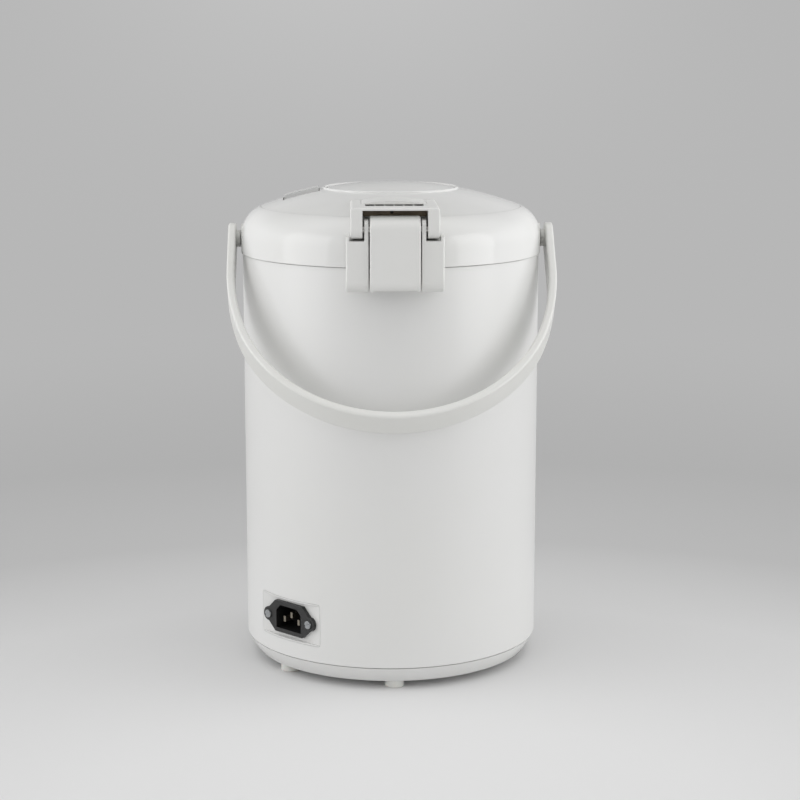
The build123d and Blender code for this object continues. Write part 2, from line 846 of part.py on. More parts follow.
def inlet_panel():
    """Flat recessed panel for the mains inlet, with a ledge above and below it."""
    outline = RectangleRounded(panel_width, panel_height, panel_corner)
    tray = extrude(inlet_place(-panel_wall) * outline, amount=20) & disc(body_radius, 0, body_top)
    tray -= extrude(inlet_place() * Rectangle(panel_width + 1, panel_height - 2), amount=20)
    tray -= extrude(inlet_place(-10) * shroud_outline(), amount=20)
    for place in inlet_screw_places():
        tray -= extrude(inlet_place(-10) * place * Circle(screw_radius), amount=20)
    return tray


def inlet_screw_places():
    """Places of the inlet's two screws on the panel."""
    return [Pos(-inlet_screw_spacing / 2, 0), Pos(inlet_screw_spacing / 2, 0)]


def shroud_outline(gap=0.0):
    """Outline of the inlet's body behind its flange."""
    width = socket_width + 2 * socket_wall - gap
    return Rectangle(width, socket_height + 2 * socket_wall - gap)


def flange_outline():
    """Long hexagon with round tips, the inlet's flange."""
    tip_x = flange_width / 2 - 4
    flat_x = flange_flat / 2
    tip_y = 4
    flat_y = flange_height / 2
    right = [(flat_x, flat_y), (tip_x, tip_y), (tip_x, -tip_y), (flat_x, -flat_y)]
    left = [(-x, -y) for x, y in right]
    outline = make_face(Polyline(*right, *left, close=True))
    for place in inlet_screw_places():
        outline += place * Circle((flange_width - inlet_screw_spacing) / 2)
    return outline


def socket_outline():
    """Mouth of the inlet: a rectangle with its two upper corners cut off."""
    half_width = socket_width / 2
    half_height = socket_height / 2
    corners = [
        (-half_width, -half_height),
        (half_width, -half_height),
        (half_width, half_height - socket_cut),
        (half_width - socket_cut, half_height),
        (-half_width + socket_cut, half_height),
        (-half_width, half_height - socket_cut),
    ]
    return make_face(Polyline(*corners, close=True))


def inlet_socket():
    """Black inlet: flange, shroud and the cavity for the plug."""
    cavity_floor = flange_thickness - socket_depth
    back = cavity_floor - socket_back
    socket = extrude(inlet_place() * flange_outline(), amount=flange_thickness)
    socket += extrude(inlet_place(back) * shroud_outline(seat_gap), amount=-back)
    socket -= extrude(inlet_place(cavity_floor) * socket_outline(), amount=30)
    for place in inlet_screw_places():
        socket -= extrude(inlet_place(-1) * place * Circle(screw_radius), amount=10)
    for place in pin_places():
        socket -= extrude(inlet_place(back - 1) * place * Rectangle(pin_width, pin_height), amount=10)
    return socket


def pin_places():
    """Places of the three blades on the inlet's face."""
    return [Pos(-pin_pitch, -pin_stagger), Pos(0, pin_stagger), Pos(pin_pitch, -pin_stagger)]


def inlet_pins():
    """Three blades that start behind the inlet as solder tags."""
    back = flange_thickness - socket_depth - socket_back - 6
    length = flange_thickness - pin_recess - back
    outline = Rectangle(pin_width, pin_height)
    return Compound(
        children=[extrude(inlet_place(back) * place * outline, amount=length) for place in pin_places()]
    )


def inlet_screws():
    """Two slotted screws through the inlet's flange."""
    top = flange_thickness + inlet_head_height
    start = -panel_wall
    screws = []
    for place in inlet_screw_places():
        head = extrude(inlet_place(flange_thickness) * place * Circle(inlet_head), amount=inlet_head_height)
        length = flange_thickness - start + 0.4
        shank = extrude(inlet_place(start) * place * Circle(screw_radius), amount=length)
        slot = place * Rot(0, 0, 20) * Rectangle(2 * inlet_head + 1, slot_width)
        screws.append(head + shank - extrude(inlet_place(top - slot_depth) * slot, amount=2))
    return Compound(children=screws)


# ---------------------------------------------------------------- hinge
def bracket_screw_x():
    """Distance of each bracket screw from the middle."""
    return flap_width / 2 - 6


def bracket_screw_z():
    """Height of the bracket's screws."""
    return body_top - hinge_drop + 7


def bracket_screw_holes():
    """Holes through the bracket's wall, the casing and the frame."""
    holes = []
    for x in (-bracket_screw_x(), bracket_screw_x()):
        holes.append(Pos(x, body_radius, bracket_screw_z()) * Rot(90, 0, 0) * Cylinder(screw_radius, 20))
    return holes


def hinge_bracket():
    """Body side of the hinge: two cheeks with a channel, posts for the pin and low outer lips."""
    half = hinge_width / 2
    low = body_top - hinge_drop
    lip_top_z = shoulder_level + lip_rise
    post_top = hinge_z + post_rise
    bracket = block(-half, half, body_radius - 10, hinge_back, low, lip_top_z)
    bracket = fillet(bracket.edges().filter_by(Axis.X).group_by(Axis.Z)[0].sort_by(Axis.Y)[-1], 8.0)
    bracket = fillet(bracket.edges().filter_by(Axis.Z).group_by(Axis.Y)[-1], 1.2)
    notch = half - lip_width
    bracket -= block(-notch, notch, body_radius - 11, hinge_back + 1, shoulder_level, lip_top_z + 1)
    for side in (-1, 1):
        low_x, high_x = sorted((side * post_inner, side * post_outer))
        post = block(low_x, high_x, hinge_y - post_front, hinge_back, shoulder_level - 1, post_top)
        bracket += fillet(post.edges().filter_by(Axis.X).group_by(Axis.Z)[-1], 3.0)
    bracket -= block(-post_inner, post_inner, channel_y, hinge_back + 1, low - 1, post_top + 1)
    bracket -= block(-post_inner, post_inner, 0, hinge_back + 1, body_top, post_top + 1)
    bracket -= disc(body_radius, 0, body_top)
    bracket -= disc(bracket_clear, body_top - seat_gap, post_top + 1)
    return bracket - cross_rod(hinge_pin_radius + pin_gap, half, hinge_y, hinge_z) - bracket_screw_holes()


def bracket_screws():
    """Screws in the channel behind the flap."""
    screws = []
    for x in (-bracket_screw_x(), bracket_screw_x()):
        head = Pos(x, channel_y + 0.8, bracket_screw_z()) * Rot(90, 0, 0) * Cylinder(screw_head, 1.6)
        shank = Pos(x, channel_y - 4, bracket_screw_z()) * Rot(90, 0, 0) * Cylinder(screw_radius, 9)
        screws.append(head + shank)
    return Compound(children=screws)


def hinge_pin():
    """Steel pin through posts, flap and yoke."""
    return cross_rod(hinge_pin_radius, yoke_outer - 0.5, hinge_y, hinge_z)


def release_flap():
    """Flap between the posts: a barrel round the pin with a plate hanging from it."""
    half = flap_width / 2
    back = hinge_y + flap_barrel
    low = body_top - hinge_drop + move_gap
    inner = back - flap_wall
    root = inner - flap_root
    plate = side_profile(half, (root, hinge_z), (back, hinge_z), (back, low), (root, low))
    foot = plate.edges().filter_by(Axis.X).group_by(Axis.Z)[0].sort_by(Axis.Y)[-1]
    plate = fillet(foot, flap_foot_radius)
    plate = chamfer(plate.edges().filter_by(lambda edge: on_flap_side(edge.center())), flap_edge)
    barrel = cross_rod(flap_barrel, half, hinge_y, hinge_z)
    flap = plate + chamfer(barrel.edges().filter_by(GeomType.CIRCLE), flap_edge)
    flap -= block(-half + 2, half - 2, root - 1, inner, low - 1, hinge_z - flap_barrel + 1)
    flap -= block(-spring_slot, spring_slot, 0, hinge_y + 5.5, hinge_z - 12, hinge_z + 6)
    return flap - cross_rod(hinge_pin_radius + pin_gap, half + 1, hinge_y, hinge_z)


def on_flap_side(point):
    """Whether a point lies on the outline of one of the flap plate's two sides."""
    root = hinge_y + flap_barrel - flap_wall - flap_root
    return abs(abs(point.X) - flap_width / 2) < 0.01 and point.Z < hinge_z - 0.01 and point.Y > root + 0.1


def flap_spring():
    """Closely wound torsion spring on the pin, with one leg on the channel's back and one on the flap."""
    inner = hinge_pin_radius + pin_gap
    outer = inner + 2 * flap_spring_wire
    middle = (inner + outer) / 2
    first = -flap_spring_coils * flap_spring_wire
    crests = []
    for index in range(flap_spring_coils):
        x = first + (2 * index + 1) * flap_spring_wire
        half = flap_spring_wire / 2
        crests += [(x - half, outer), (x + half, outer), (x + flap_spring_wire, middle)]
    outline = [(first, inner), (first, middle), *crests, (-first, inner)]
    coils = revolve(make_face(Polyline(*[(x, 0, r) for x, r in outline], close=True)), Axis.X)
    spring = Pos(0, hinge_y, hinge_z) * coils
    end = -first - flap_spring_wire
    wall_leg = rod((-end, hinge_y - middle, hinge_z), channel_y + flap_spring_wire)
    flap_leg = rod((end, hinge_y + middle, hinge_z), flap_back() - flap_spring_wire - seat_gap)
    return spring + wall_leg + flap_leg


def rod(start, end_y):
    """Leg of the flap's spring, from a point of its coils down to a distance behind the axis."""
    x, y, z = start
    leg = Line((x, y, z), (x, end_y, z - flap_spring_drop))
    return sweep(Plane(origin=leg @ 0, z_dir=leg % 0) * Circle(flap_spring_leg), path=leg)


def flap_back():
    """Distance of the inner face of the flap's plate behind the axis."""
    return hinge_y + flap_barrel - flap_wall


def hinge_yoke():
    """Lid side of the hinge: a raised housing that ends in two arms under a thin skin."""
    low = hinge_z - yoke_heel
    front = yoke_back - yoke_length
    housing = block(-yoke_outer, yoke_outer, front, yoke_back, low, yoke_top)
    housing = fillet(housing.edges().filter_by(Axis.Y).group_by(Axis.Z)[-1], 2.0)
    heel = housing.edges().filter_by(Axis.X).group_by(Axis.Z)[0].sort_by(Axis.Y)[-1]
    housing = fillet(heel, yoke_heel - 0.4)
    housing = fillet(housing.edges().filter_by(Axis.X).group_by(Axis.Z)[-1].sort_by(Axis.Y)[-1], 1.0)
    housing -= lid_envelope()
    skin_low = yoke_top - yoke_skin
    trough_floor = yoke_top - trough_depth
    cavity_front = hinge_y - math.hypot(post_front, post_rise) - yoke_gap
    end = yoke_back + 1
    housing -= block(-yoke_inner, yoke_inner, trough_back + trough_wall, end, low - 1, skin_low)
    housing -= block(-yoke_inner, yoke_inner, cavity_front, end, low - 1, trough_floor - trough_wall)
    trough = trough_half_width
    housing -= block(-trough, trough, pocket_front, trough_back, trough_floor, yoke_top + 1)
    housing -= cross_rod(hinge_pin_radius + pin_gap, yoke_outer + 1, hinge_y, hinge_z)
    return housing - disc(steam_radius, 0, apex_z, 0, steam_y)


def steam_vent():
    """Low arched hood over the steam pocket, with upright vanes in its mouth."""
    half = hood_half_width
    top = yoke_top
    arch = ThreePointArc((-half, 0, top), (0, 0, top + hood_rise), (half, 0, top))
    face = make_face(arch + Line((half, 0, top), (-half, 0, top)))
    hood = extrude(Pos(0, trough_front, 0) * face, amount=hood_length, dir=(0, -1, 0))
    hood -= lid_envelope()
    pitch = 2 * trough_half_width / (vane_count + 1)
    for index in range(vane_count):
        x = (index + 1) * pitch - trough_half_width
        length = vane_length / 3 if abs(x) < steam_radius else vane_length
        back = trough_front - 0.6
        hood += block(x - 0.5, x + 0.5, back - length, back, top - trough_depth, top + 0.5)
    return hood


# ---------------------------------------------------------------- lid
def lid_wall_form():
    """Skirt and shoulder of the lid, with the ledge for the top plate, before any opening."""
    inner_r = shoulder_radius - lid_wall
    ledge_r = plate_radius - plate_ledge
    low_ledge = ledge_z - lid_wall
    angle = math.degrees(math.asin((low_ledge - shoulder_z) / inner_r))
    meet = shoulder_x + inner_r * math.cos(math.radians(angle))
    profile = Line((lid_inner, 0, lid_low), (lid_radius, 0, lid_low))
    profile += Line((lid_radius, 0, lid_low), (lid_radius, 0, shoulder_z))
    profile += arc_xz(shoulder_x, shoulder_z, shoulder_radius, 0, shoulder_angle)
    profile += Polyline(
        (plate_radius, 0, edge_z),
        (plate_radius, 0, ledge_z),
        (ledge_r, 0, ledge_z),
        (ledge_r, 0, low_ledge),
        (meet, 0, low_ledge),
    )
    profile += arc_xz(shoulder_x, shoulder_z, inner_r, angle, 0)
    profile += Line((lid_inner, 0, shoulder_z), (lid_inner, 0, lid_low))
    return revolve(make_face(profile), Axis.Z)


def latch_window_top():
    """Height that clears the latch's upper edge over its whole swing."""
    front = lid_radius + latch_y
    rise = latch_top - latch_z
    swing = math.atan2(rise, front) + math.radians(latch_swing)
    return latch_z + math.hypot(front, rise) * math.sin(swing) + latch_gap


def lid_shell():
    """Lid's outer wall with windows for the bail's ears and for the latch, and the latch's lugs."""
    window = latch_window
    shell = lid_wall_form() - ear_outline(ear_gap, 5)
    shell -= block(-window, window, -lid_radius - 1, latch_y + lug_thickness, lid_low - 1, latch_window_top())
    for side in (-1, 1):
        low_x, high_x = sorted((side * window, side * (window + lug_thickness)))
        lug = block(low_x, high_x, -lid_radius, latch_y + 5, latch_z - 5, latch_z + 5)
        shell += lug & disc(lid_inner + 0.5, lid_low, apex_z)
    return shell - cross_rod(latch_pin_radius + 0.01, window + lug_thickness + 1, latch_y, latch_z)


def latch_pin():
    """Pin of the lid latch in the lugs of the lid shell."""
    return cross_rod(latch_pin_radius, latch_window + lug_thickness, latch_y, latch_z)


def lid_top_plate():
    """Domed top with the well of the push plate, the slot of the lock and the steam hole."""
    rim = plate_radius - seat_gap
    cap = dome_cap(rim, 0, ledge_z)
    under = dome_cap(rim - 3, -plate_thickness, ledge_z - 1)
    well_outer = well_radius + well_wall
    plate = cap - under
    plate += dome_cap(well_outer, 0, well_low) & ring(well_radius, well_outer, well_low, apex_z)
    plate += Pos(0, 0, dome_z(well_outer)) * Torus(well_outer - 0.2, well_bead)
    plate -= disc(well_radius, well_low - 1, apex_z + 5)
    end = lock_start + lock_length + lock_room
    half = lock_width / 2 + lock_room
    plate -= block(lock_start - lock_room, end, -half, half + lock_travel, ledge_z, apex_z)
    joint = post_joint()
    for x, y in post_places():
        plate += disc(post_radius, joint, dome_z(post_circle) - 1, x, y)
        plate -= disc(screw_radius, joint - 1, screw_tip(), x, y)
    return plate - disc(steam_radius, 0, apex_z, 0, steam_y)


def post_places():
    """Centres of the lid's four screw posts."""
    places = []
    for angle in (45, 135, 225, 315):
        turn = math.radians(angle)
        places.append((post_circle * math.cos(turn), post_circle * math.sin(turn)))
    return places


def post_joint():
    """Height where the posts of the top plate stand on those of the under cover."""
    return dome_z(post_circle) - post_joint_drop


def screw_tip():
    """Height of the lid screws' tips."""
    return dome_z(post_circle) - plate_thickness - 0.5


def lid_under_cover():
    """Underside of the lid: a flange, a cup that hangs into the mouth and the screw posts."""
    cup_inner = cup_radius - cup_wall
    flange = lid_inner - 0.3
    cover = turned(
        (valve_radius, cup_floor),
        (cup_radius, cup_floor),
        (cup_radius, cover_low),
        (flange, cover_low),
        (flange, cover_low + cover_thickness),
        (cup_inner, cover_low + cover_thickness),
        (cup_inner, cup_floor + cup_wall),
        (valve_radius, cup_floor + cup_wall),
    )
    for x, y in post_places():
        cover += disc(post_radius, cup_floor, post_joint(), x, y)
        cover -= disc(screw_radius, cup_floor - 1, post_joint() + 1, x, y)
        cover -= disc(screw_head + seat_gap, cup_floor - 1, cup_floor + counterbore, x, y)
    cover -= ear_outline(ear_gap + 1, 8) - disc(lid_radius - ear_thickness - ear_gap - 3, 0, apex_z)
    low = cover_low - 1
    high = cover_low + 5
    window = latch_window + 0.3
    cover -= block(-window, window, -lid_radius, latch_y - 2, low, high)
    slot_half = hook_half_width + hook_room
    cover -= block(-slot_half, slot_half, -lid_radius, latch_y + 6, low, high)
    return cover - disc(steam_radius, 0, apex_z, 0, cup_radius - 10)


def lid_gasket():
    """Silicone ring whose cone lies over the sloping mouth of the frame."""
    slope = mouth_drop / (frame_radius - deck_width - mouth_radius)
    lift = gasket_gap * math.hypot(1, slope)
    tip = cup_radius + gasket_reach
    root_z = mouth_z + (cup_radius + 1 - mouth_radius) * slope + lift
    tip_z = mouth_z + (tip - mouth_radius) * slope + lift
    return turned(
        (cup_radius, root_z),
        (cup_radius + 1, root_z),
        (tip, tip_z),
        (tip, cover_low - 0.6),
        (tip - 0.6, cover_low),
        (cup_radius, cover_low),
    )


def inner_lid_plate():
    """Stainless plate under the cup, with steam holes and a turned-up rim."""
    low = cup_floor - inner_plate_depth
    wall = inner_plate_wall
    raised = low + inner_plate_step
    rim = inner_plate_radius
    plate = turned(
        (0, raised),
        (30, raised),
        (34, low),
        (rim - 1.5, low),
        (rim, raised),
        (rim, cup_floor),
        (rim - wall, cup_floor),
        (rim - wall, raised + wall),
        (rim - 2, low + wall),
        (34.5, low + wall),
        (30.5, raised + wall),
        (0, raised + wall),
    )
    for index in range(steam_holes):
        plate -= Rot(0, 0, index * 360 / steam_holes) * disc(2.5, low - 1, low + 5, 20)
    return plate


def check_valve():
    """Rubber valve in the cup's floor that lets the bellows' air into the pot."""
    low = cup_floor - inner_plate_depth + inner_plate_step + inner_plate_wall
    flange = valve_radius + 3
    lip = cup_floor - 1.2
    top = cup_floor + cup_wall
    outline = [(0, low), (4, low), (4, lip), (flange, lip), (flange, cup_floor), (valve_radius, cup_floor)]
    body = turned(*outline, (valve_radius, top), (0, top))
    return body - disc(1.5, low + 1, top + 1)


def lid_screws():
    """Screws that hold the under cover to the top plate."""
    head_top = cup_floor + counterbore
    screws = []
    for x, y in post_places():
        head = disc(screw_head, head_top - screw_head_height, head_top, x, y)
        screws.append(head + disc(screw_radius, cup_floor + 1, screw_tip(), x, y))
    return Compound(children=screws)


def lid_latch():
    """Curved latch plate at the front of the lid, with a finger lip, a barrel and a hook."""
    half = latch_half_width
    low = lid_low + 2 * move_gap
    plate = lid_wall_form() & block(-half, half, -lid_radius, latch_y, low, latch_top)
    barrel = cross_rod(latch_barrel, half, latch_y, latch_z)
    web = block(-half, half, -lid_radius + 4.5, latch_y, latch_z - 2.5, latch_z + 2.5)
    web &= disc(lid_radius - 2, 0, apex_z)
    lip_half = half - 4
    lip_low = low + 3
    lip_high = lip_low + latch_lip_thickness
    lip = block(-lip_half, lip_half, -lid_radius - latch_lip, -lid_radius + 2, lip_low, lip_high)
    lip = fillet(lip.edges().filter_by(Axis.Z).group_by(Axis.Y)[0], 5.0)
    lip -= disc(lid_radius - 1, 0, apex_z)
    hook_half = hook_half_width
    hook_y = latch_y + hook_set_back
    hook = block(-hook_half, hook_half, hook_y, hook_y + hook_thickness, deck_z + hook_lift, latch_z)
    return plate + barrel + web + lip + hook - cross_rod(latch_pin_radius + pin_gap, 40, latch_y, latch_z)


# ---------------------------------------------------------------- push plate and lock
def push_plate():
    """Round plate that follows the dome, with a skirt in the well and a stem on the bellows."""
    radius = well_radius - 0.6
    low = dome_z(radius) - push_skirt
    cap = dome_cap(radius, 0, low)
    cap = fillet(level_edges(cap).sort_by(Axis.Z)[-1], 0.9)
    cap -= dome_cap(radius - push_wall, -push_wall, low - 1)
    return cap + disc(push_stem_radius, bellows_top(), dome_z(0) - 1)


def bellows_low():
    """Seat of the bellows on the cup's floor."""
    return cup_floor + cup_wall


def bellows_top():
    """Top of the bellows at rest."""
    return dome_z(0) - push_travel - 2 * push_wall


def bellows():
    """Rubber bellows with a closed top, folded between two radii."""
    low = bellows_low()
    top = bellows_top()
    roof = top - bellows_roof
    step = (top - low - 2) / (2 * bellows_folds)
    outer = []
    for index in range(2 * bellows_folds + 1):
        radius = bellows_outer if index % 2 == 0 else bellows_inner
        outer.append((radius, low + 1 + index * step))
    inner = [(r - bellows_wall, min(z, roof)) for r, z in reversed(outer)]
    foot = [(bellows_outer - bellows_wall - 3, low), (bellows_outer, low)]
    return turned(*outer, (bellows_outer, top), (0, top), (0, roof), *inner, *foot)


def return_spring():
    """Coil spring inside the bellows."""
    low = bellows_low() + spring_wire
    height = bellows_top() - bellows_roof - spring_wire - low
    route = Pos(0, 0, low) * Helix(pitch=height / spring_turns, height=height, radius=spring_radius)
    start = Plane(origin=route @ 0, z_dir=route % 0)
    return sweep(start * RegularPolygon(spring_wire / 2, 6), path=route, is_frenet=True)


def lock_slide():
    """Thumb piece that stands a little proud of the dome and slides across it."""
    end = lock_start + lock_length
    half = lock_width / 2
    reach = plate_radius - plate_ledge
    shoe_top = -plate_thickness - lock_shoe_gap
    shoe_low = shoe_top - lock_shoe
    thumb = dome_cap(reach, lock_proud, ledge_z) - dome_cap(reach, shoe_top - 0.6, ledge_z - 1)
    thumb &= block(lock_start, end, -half, half, ledge_z, apex_z + 5)
    shoe = dome_cap(reach, shoe_top, ledge_z - 6) - dome_cap(reach, shoe_low, ledge_z - 7)
    wide = lock_shoe_overlap
    return thumb + (shoe & block(lock_start - wide, end + wide, -half - 2, half + 2, ledge_z - 6, apex_z))


# ---------------------------------------------------------------- bail
def bail_loop(inset, top):
    """Flat U across X about the pivot axis, hanging down, inset from its outer edge."""
    half = bail_half_width - inset
    drop = bail_reach - bail_straight
    turn = math.radians(bail_side_turn)
    share = math.tan(turn / 2)
    crown_radius = (bail_half_width - drop * share) / (1 - share)
    side_radius = crown_radius + (drop - crown_radius) / math.sin(turn)
    side_x = bail_half_width - side_radius
    side_z = -bail_straight
    crown_z = -bail_straight - (drop - crown_radius)
    side = arc_xz(side_x, side_z, side_radius - inset, 0, -bail_side_turn)
    crown = arc_xz(0, crown_z, crown_radius - inset, -bail_side_turn, -180 + bail_side_turn)
    other = arc_xz(-side_x, side_z, side_radius - inset, 180 + bail_side_turn, 180)
    arms = Polyline((-half, 0, side_z), (-half, 0, top), (half, 0, top), (half, 0, side_z))
    face = make_face(arms + side + crown + other)
    return extrude(face, amount=bail_end_radius + 2, dir=(0, 1, 0), both=True)


def bail_handle():
    """Bail with round arm ends, a boss on the inside of each and a stud through the ear."""
    loop = bail_loop(0, bail_end_radius + 1) - bail_loop(bail_thickness, bail_end_radius + 5)
    reach = bail_half_width + 5
    half = bail_width / 2
    low = -bail_reach - 1
    taper = side_profile(reach, (-bail_end_radius, 0), (bail_end_radius, 0), (half, low), (-half, low))
    bail = loop & (taper + cross_rod(bail_end_radius, reach, 0, 0))
    bail = fillet(bail.edges().filter_by(runs_along_bail), bail_edge)
    boss_length = (bail_side_gap - move_gap) / 2
    stud_end = lid_radius - ear_thickness - 3
    stud_length = (arm_inner + 1 - stud_end) / 2
    for side in (-1, 1):
        bail += cross_rod(boss_radius, boss_length + 0.5, 0, 0, side * (arm_inner - boss_length + 0.5))
        bail += cross_rod(stud_pin_radius, stud_length, 0, 0, side * (arm_inner + 1 - stud_length))
    return stowed(bail)


def runs_along_bail(edge):
    """Whether an edge runs along the band and not across its width or its thickness."""
    across = edge.geom_type == GeomType.LINE and edge.bounding_box().size.Y > bail_width / 2
    return edge.length > 1.5 * bail_thickness and not across


def stowed(piece):
    """Turns a piece from hanging straight down to its rest against the body."""
    return Pos(0, 0, pivot_z) * Rot(stow_angle, 0, 0) * piece


def bail_retainers():
    """Push-on washers that keep the studs in the ears."""
    outer_face = lid_radius - ear_thickness - 0.3
    washers = []
    for side in (-1, 1):
        washer = cross_rod(stud_pin_radius + 2.5, 0.6, 0, 0) - cross_rod(stud_pin_radius, 2, 0, 0)
        washers.append(stowed(Pos(side * (outer_face - 0.6), 0, 0) * washer))
    return Compound(children=washers)


# ---------------------------------------------------------------- spout and panel
def beak_underside_z(y):
    """Height of the beak's sloping underside at a distance in front of the axis."""
    front_low = beak_top_z - beak_front_drop - beak_front_height
    root_low = beak_top_z - beak_height
    return root_low + (front_low - root_low) * (-y - body_radius) / beak_reach


def beak_form(inset):
    """Beak as a solid, made smaller all round by the inset."""
    root_y = -body_radius + beak_buried
    front = beak_front + inset
    top_front = beak_top_z - beak_tilt() * (root_y - front) - inset
    low_front = beak_underside_z(front) + inset
    low_root = beak_underside_z(-body_radius) + inset
    side = side_profile(
        beak_root_half_width + 20,
        (root_y, beak_top_z - inset),
        (front, top_front),
        (front, low_front + 4),
        (front + 4, low_front),
        (-body_radius, low_root),
        (root_y, low_root),
    )
    root_half = beak_root_half_width - inset
    front_half = beak_front_half_width - inset
    left = [(-root_half, root_y), (-front_half, front)]
    right = [(front_half, front), (root_half, root_y)]
    plan = make_face(Polyline(*left, *right, close=True))
    plan = fillet(plan.vertices().group_by(Axis.Y)[0], beak_corner - inset)
    return side & extrude(plan, amount=body_top + 10)


def beak_tilt():
    """Fall of the beak's top for each millimetre towards the front."""
    return beak_front_drop / (beak_reach + beak_buried)


def spout_beak():
    """Hollow beak on the front of the body, open below for its cover and above for the panel."""
    beak = beak_form(0)
    top_edges = beak.edges().filter_by(lambda edge: edge.center().Z > beak_top_z - beak_front_drop - 1.5)
    top_edges = top_edges.filter_by(lambda edge: edge.center().Y < -body_radius)
    beak = fillet(top_edges, beak_edge)
    beak -= beak_form(beak_wall)
    beak -= under_cover_cutter(0)
    beak -= extrude(panel_place(-beak_wall - 1) * panel_outline(seat_gap), amount=20)
    return beak - disc(body_radius, 0, beak_top_z + 5)


def under_cover_cutter(inset):
    """Opening in the beak's underside."""
    half = beak_front_half_width - opening_side - inset
    front = beak_front + opening_front + inset
    top = beak_underside_z(nozzle_y) + opening_depth
    return block(-half, half, front, -body_radius - opening_side - inset, 0, top)


def spout_under_cover():
    """Cover in the beak's underside that the nozzle comes through."""
    cover = beak_form(0) - beak_form(beak_wall)
    cover &= under_cover_cutter(seat_gap)
    return cover - disc(nozzle_radius + seat_gap, 0, body_top, 0, nozzle_y)


def panel_place(depth=0.0):
    """Plane on the beak's sloping top: x across, y to the rear, z out of the panel."""
    slope = math.atan(beak_tilt())
    top = beak_top_z - beak_tilt() * (-panel_plate_y - body_radius + beak_buried)
    normal = (0, -math.sin(slope), math.cos(slope))
    origin = (0, panel_plate_y + depth * normal[1], top + depth * normal[2])
    return Plane(origin=origin, x_dir=(1, 0, 0), z_dir=normal)


def panel_outline(grow=0.0):
    """Outline of the panel's plate, or of the opening round it."""
    width = panel_plate_width + 2 * grow
    return RectangleRounded(width, panel_plate_length + 2 * grow, panel_plate_corner)


def button_outlines():
    """Each button's name with its outline and its place on the panel."""
    round_button = Circle(button_radius)
    return {
        "dispense_button": Pos(0, dispense_row) * SlotOverall(dispense_length, 2 * button_radius + 2),
        "reboil_button": Pos(-button_column, button_row) * round_button,
        "lock_button": Pos(button_column, button_row) * round_button,
    }


def control_panel():
    """Plate in the beak's top with holes for the buttons and the lenses."""
    plate = extrude(panel_place(-panel_plate_thickness) * panel_outline(), amount=panel_plate_thickness)
    for outline in button_outlines().values():
        plate -= extrude(panel_place(-5) * offset(outline, move_gap), amount=10)
    for place in lens_places():
        plate -= extrude(panel_place(-5) * place * Circle(lens_radius), amount=10)
    return plate


def lens_places():
    """Places of the indicator lenses on the panel."""
    return [Pos(-lens_column, button_row), Pos(lens_column, button_row)]


def indicator_lenses():
    """Light pipes from the board up to the panel's face."""
    start = panel_place(-board_depth)
    lens = Circle(lens_radius)
    return Compound(
        children=[extrude(start * place * lens, amount=board_depth + lens_proud) for place in lens_places()]
    )


def control_board():
    """Circuit board under the panel, hung from it on two pillars, with a switch under each button."""
    top = panel_place(-board_depth)
    outline = Rectangle(board_width, board_length)
    board = extrude(panel_place(-board_depth - board_thickness) * outline, amount=board_thickness)
    for x in (-board_pillar_x, board_pillar_x):
        board += extrude(top * Pos(x, 0) * Circle(board_pillar), amount=board_depth - panel_plate_thickness)
    for button_outline in button_outlines().values():
        switch = Rectangle(switch_width, switch_width)
        board += extrude(top * Pos(button_outline.center()) * switch, amount=switch_height - 0.3)
    return board


def button(outline):
    """Button with a collar under the panel, so that it can't fall out."""
    under = panel_plate_thickness + move_gap
    cap = extrude(panel_place(-under) * outline, amount=under + button_proud)
    return cap + extrude(panel_place(-under - button_collar) * offset(outline, 1.0), amount=button_collar)


# ---------------------------------------------------------------- build
def all_nodes():
    """Every piece under the name of its file."""
    nodes = {
        "swivel_base": swivel_base(),
        "base_feet": base_feet(),
        "glide_ring": glide_ring(),
        "outer_shell": outer_shell(),
        "bottom_plate": bottom_plate(),
        "swivel_retainer": swivel_retainer(),
        "base_screws": base_screws(),
        "tie_brackets": tie_brackets(),
        "top_frame": top_frame(),
        "inner_pot": inner_pot(),
        "mouth_seal": mouth_seal(),
        "insulation_sleeve": insulation_sleeve(),
        "heater_band": heater_band(),
        "heater_plate": heater_plate(),
        "thermostat": thermostat(),
        "pump_housing": pump_housing(),
        "pump_cover": pump_cover(),
        "impeller": impeller(),
        "pump_motor": pump_motor(),
        "drive_magnet": drive_magnet(),
        "suction_hose": suction_hose(),
        "delivery_hose": delivery_hose(),
        "gauge_tube": gauge_tube(),
        "spout_pipe": spout_pipe(),
        "nozzle": nozzle(),
        "gauge_window": gauge_window(),
        "inlet_panel": inlet_panel(),
        "inlet_socket": inlet_socket(),
        "inlet_pins": inlet_pins(),
        "inlet_screws": inlet_screws(),
        "hinge_bracket": hinge_bracket(),
        "bracket_screws": bracket_screws(),
        "hinge_pin": hinge_pin(),
        "release_flap": release_flap(),
        "flap_spring": flap_spring(),
        "hinge_yoke": hinge_yoke(),
        "steam_vent": steam_vent(),
        "lid_shell": lid_shell(),
        "latch_pin": latch_pin(),
        "lid_top_plate": lid_top_plate(),
        "lid_under_cover": lid_under_cover(),
        "lid_gasket": lid_gasket(),
        "inner_lid_plate": inner_lid_plate(),
        "check_valve": check_valve(),
        "lid_screws": lid_screws(),
        "lid_latch": lid_latch(),
        "push_plate": push_plate(),
        "bellows": bellows(),
        "return_spring": return_spring(),
        "lock_slide": lock_slide(),
        "bail_handle": bail_handle(),
        "bail_retainers": bail_retainers(),
        "spout_beak": spout_beak(),
        "spout_under_cover": spout_under_cover(),
        "control_panel": control_panel(),
        "indicator_lenses": indicator_lenses(),
        "control_board": control_board(),
    }
    for name, outline in button_outlines().items():
        nodes[name] = button(outline)
    return nodes


os.makedirs("parts", exist_ok=True)
for name, piece in all_nodes().items():
    export_step(piece, f"parts/{name}.step")
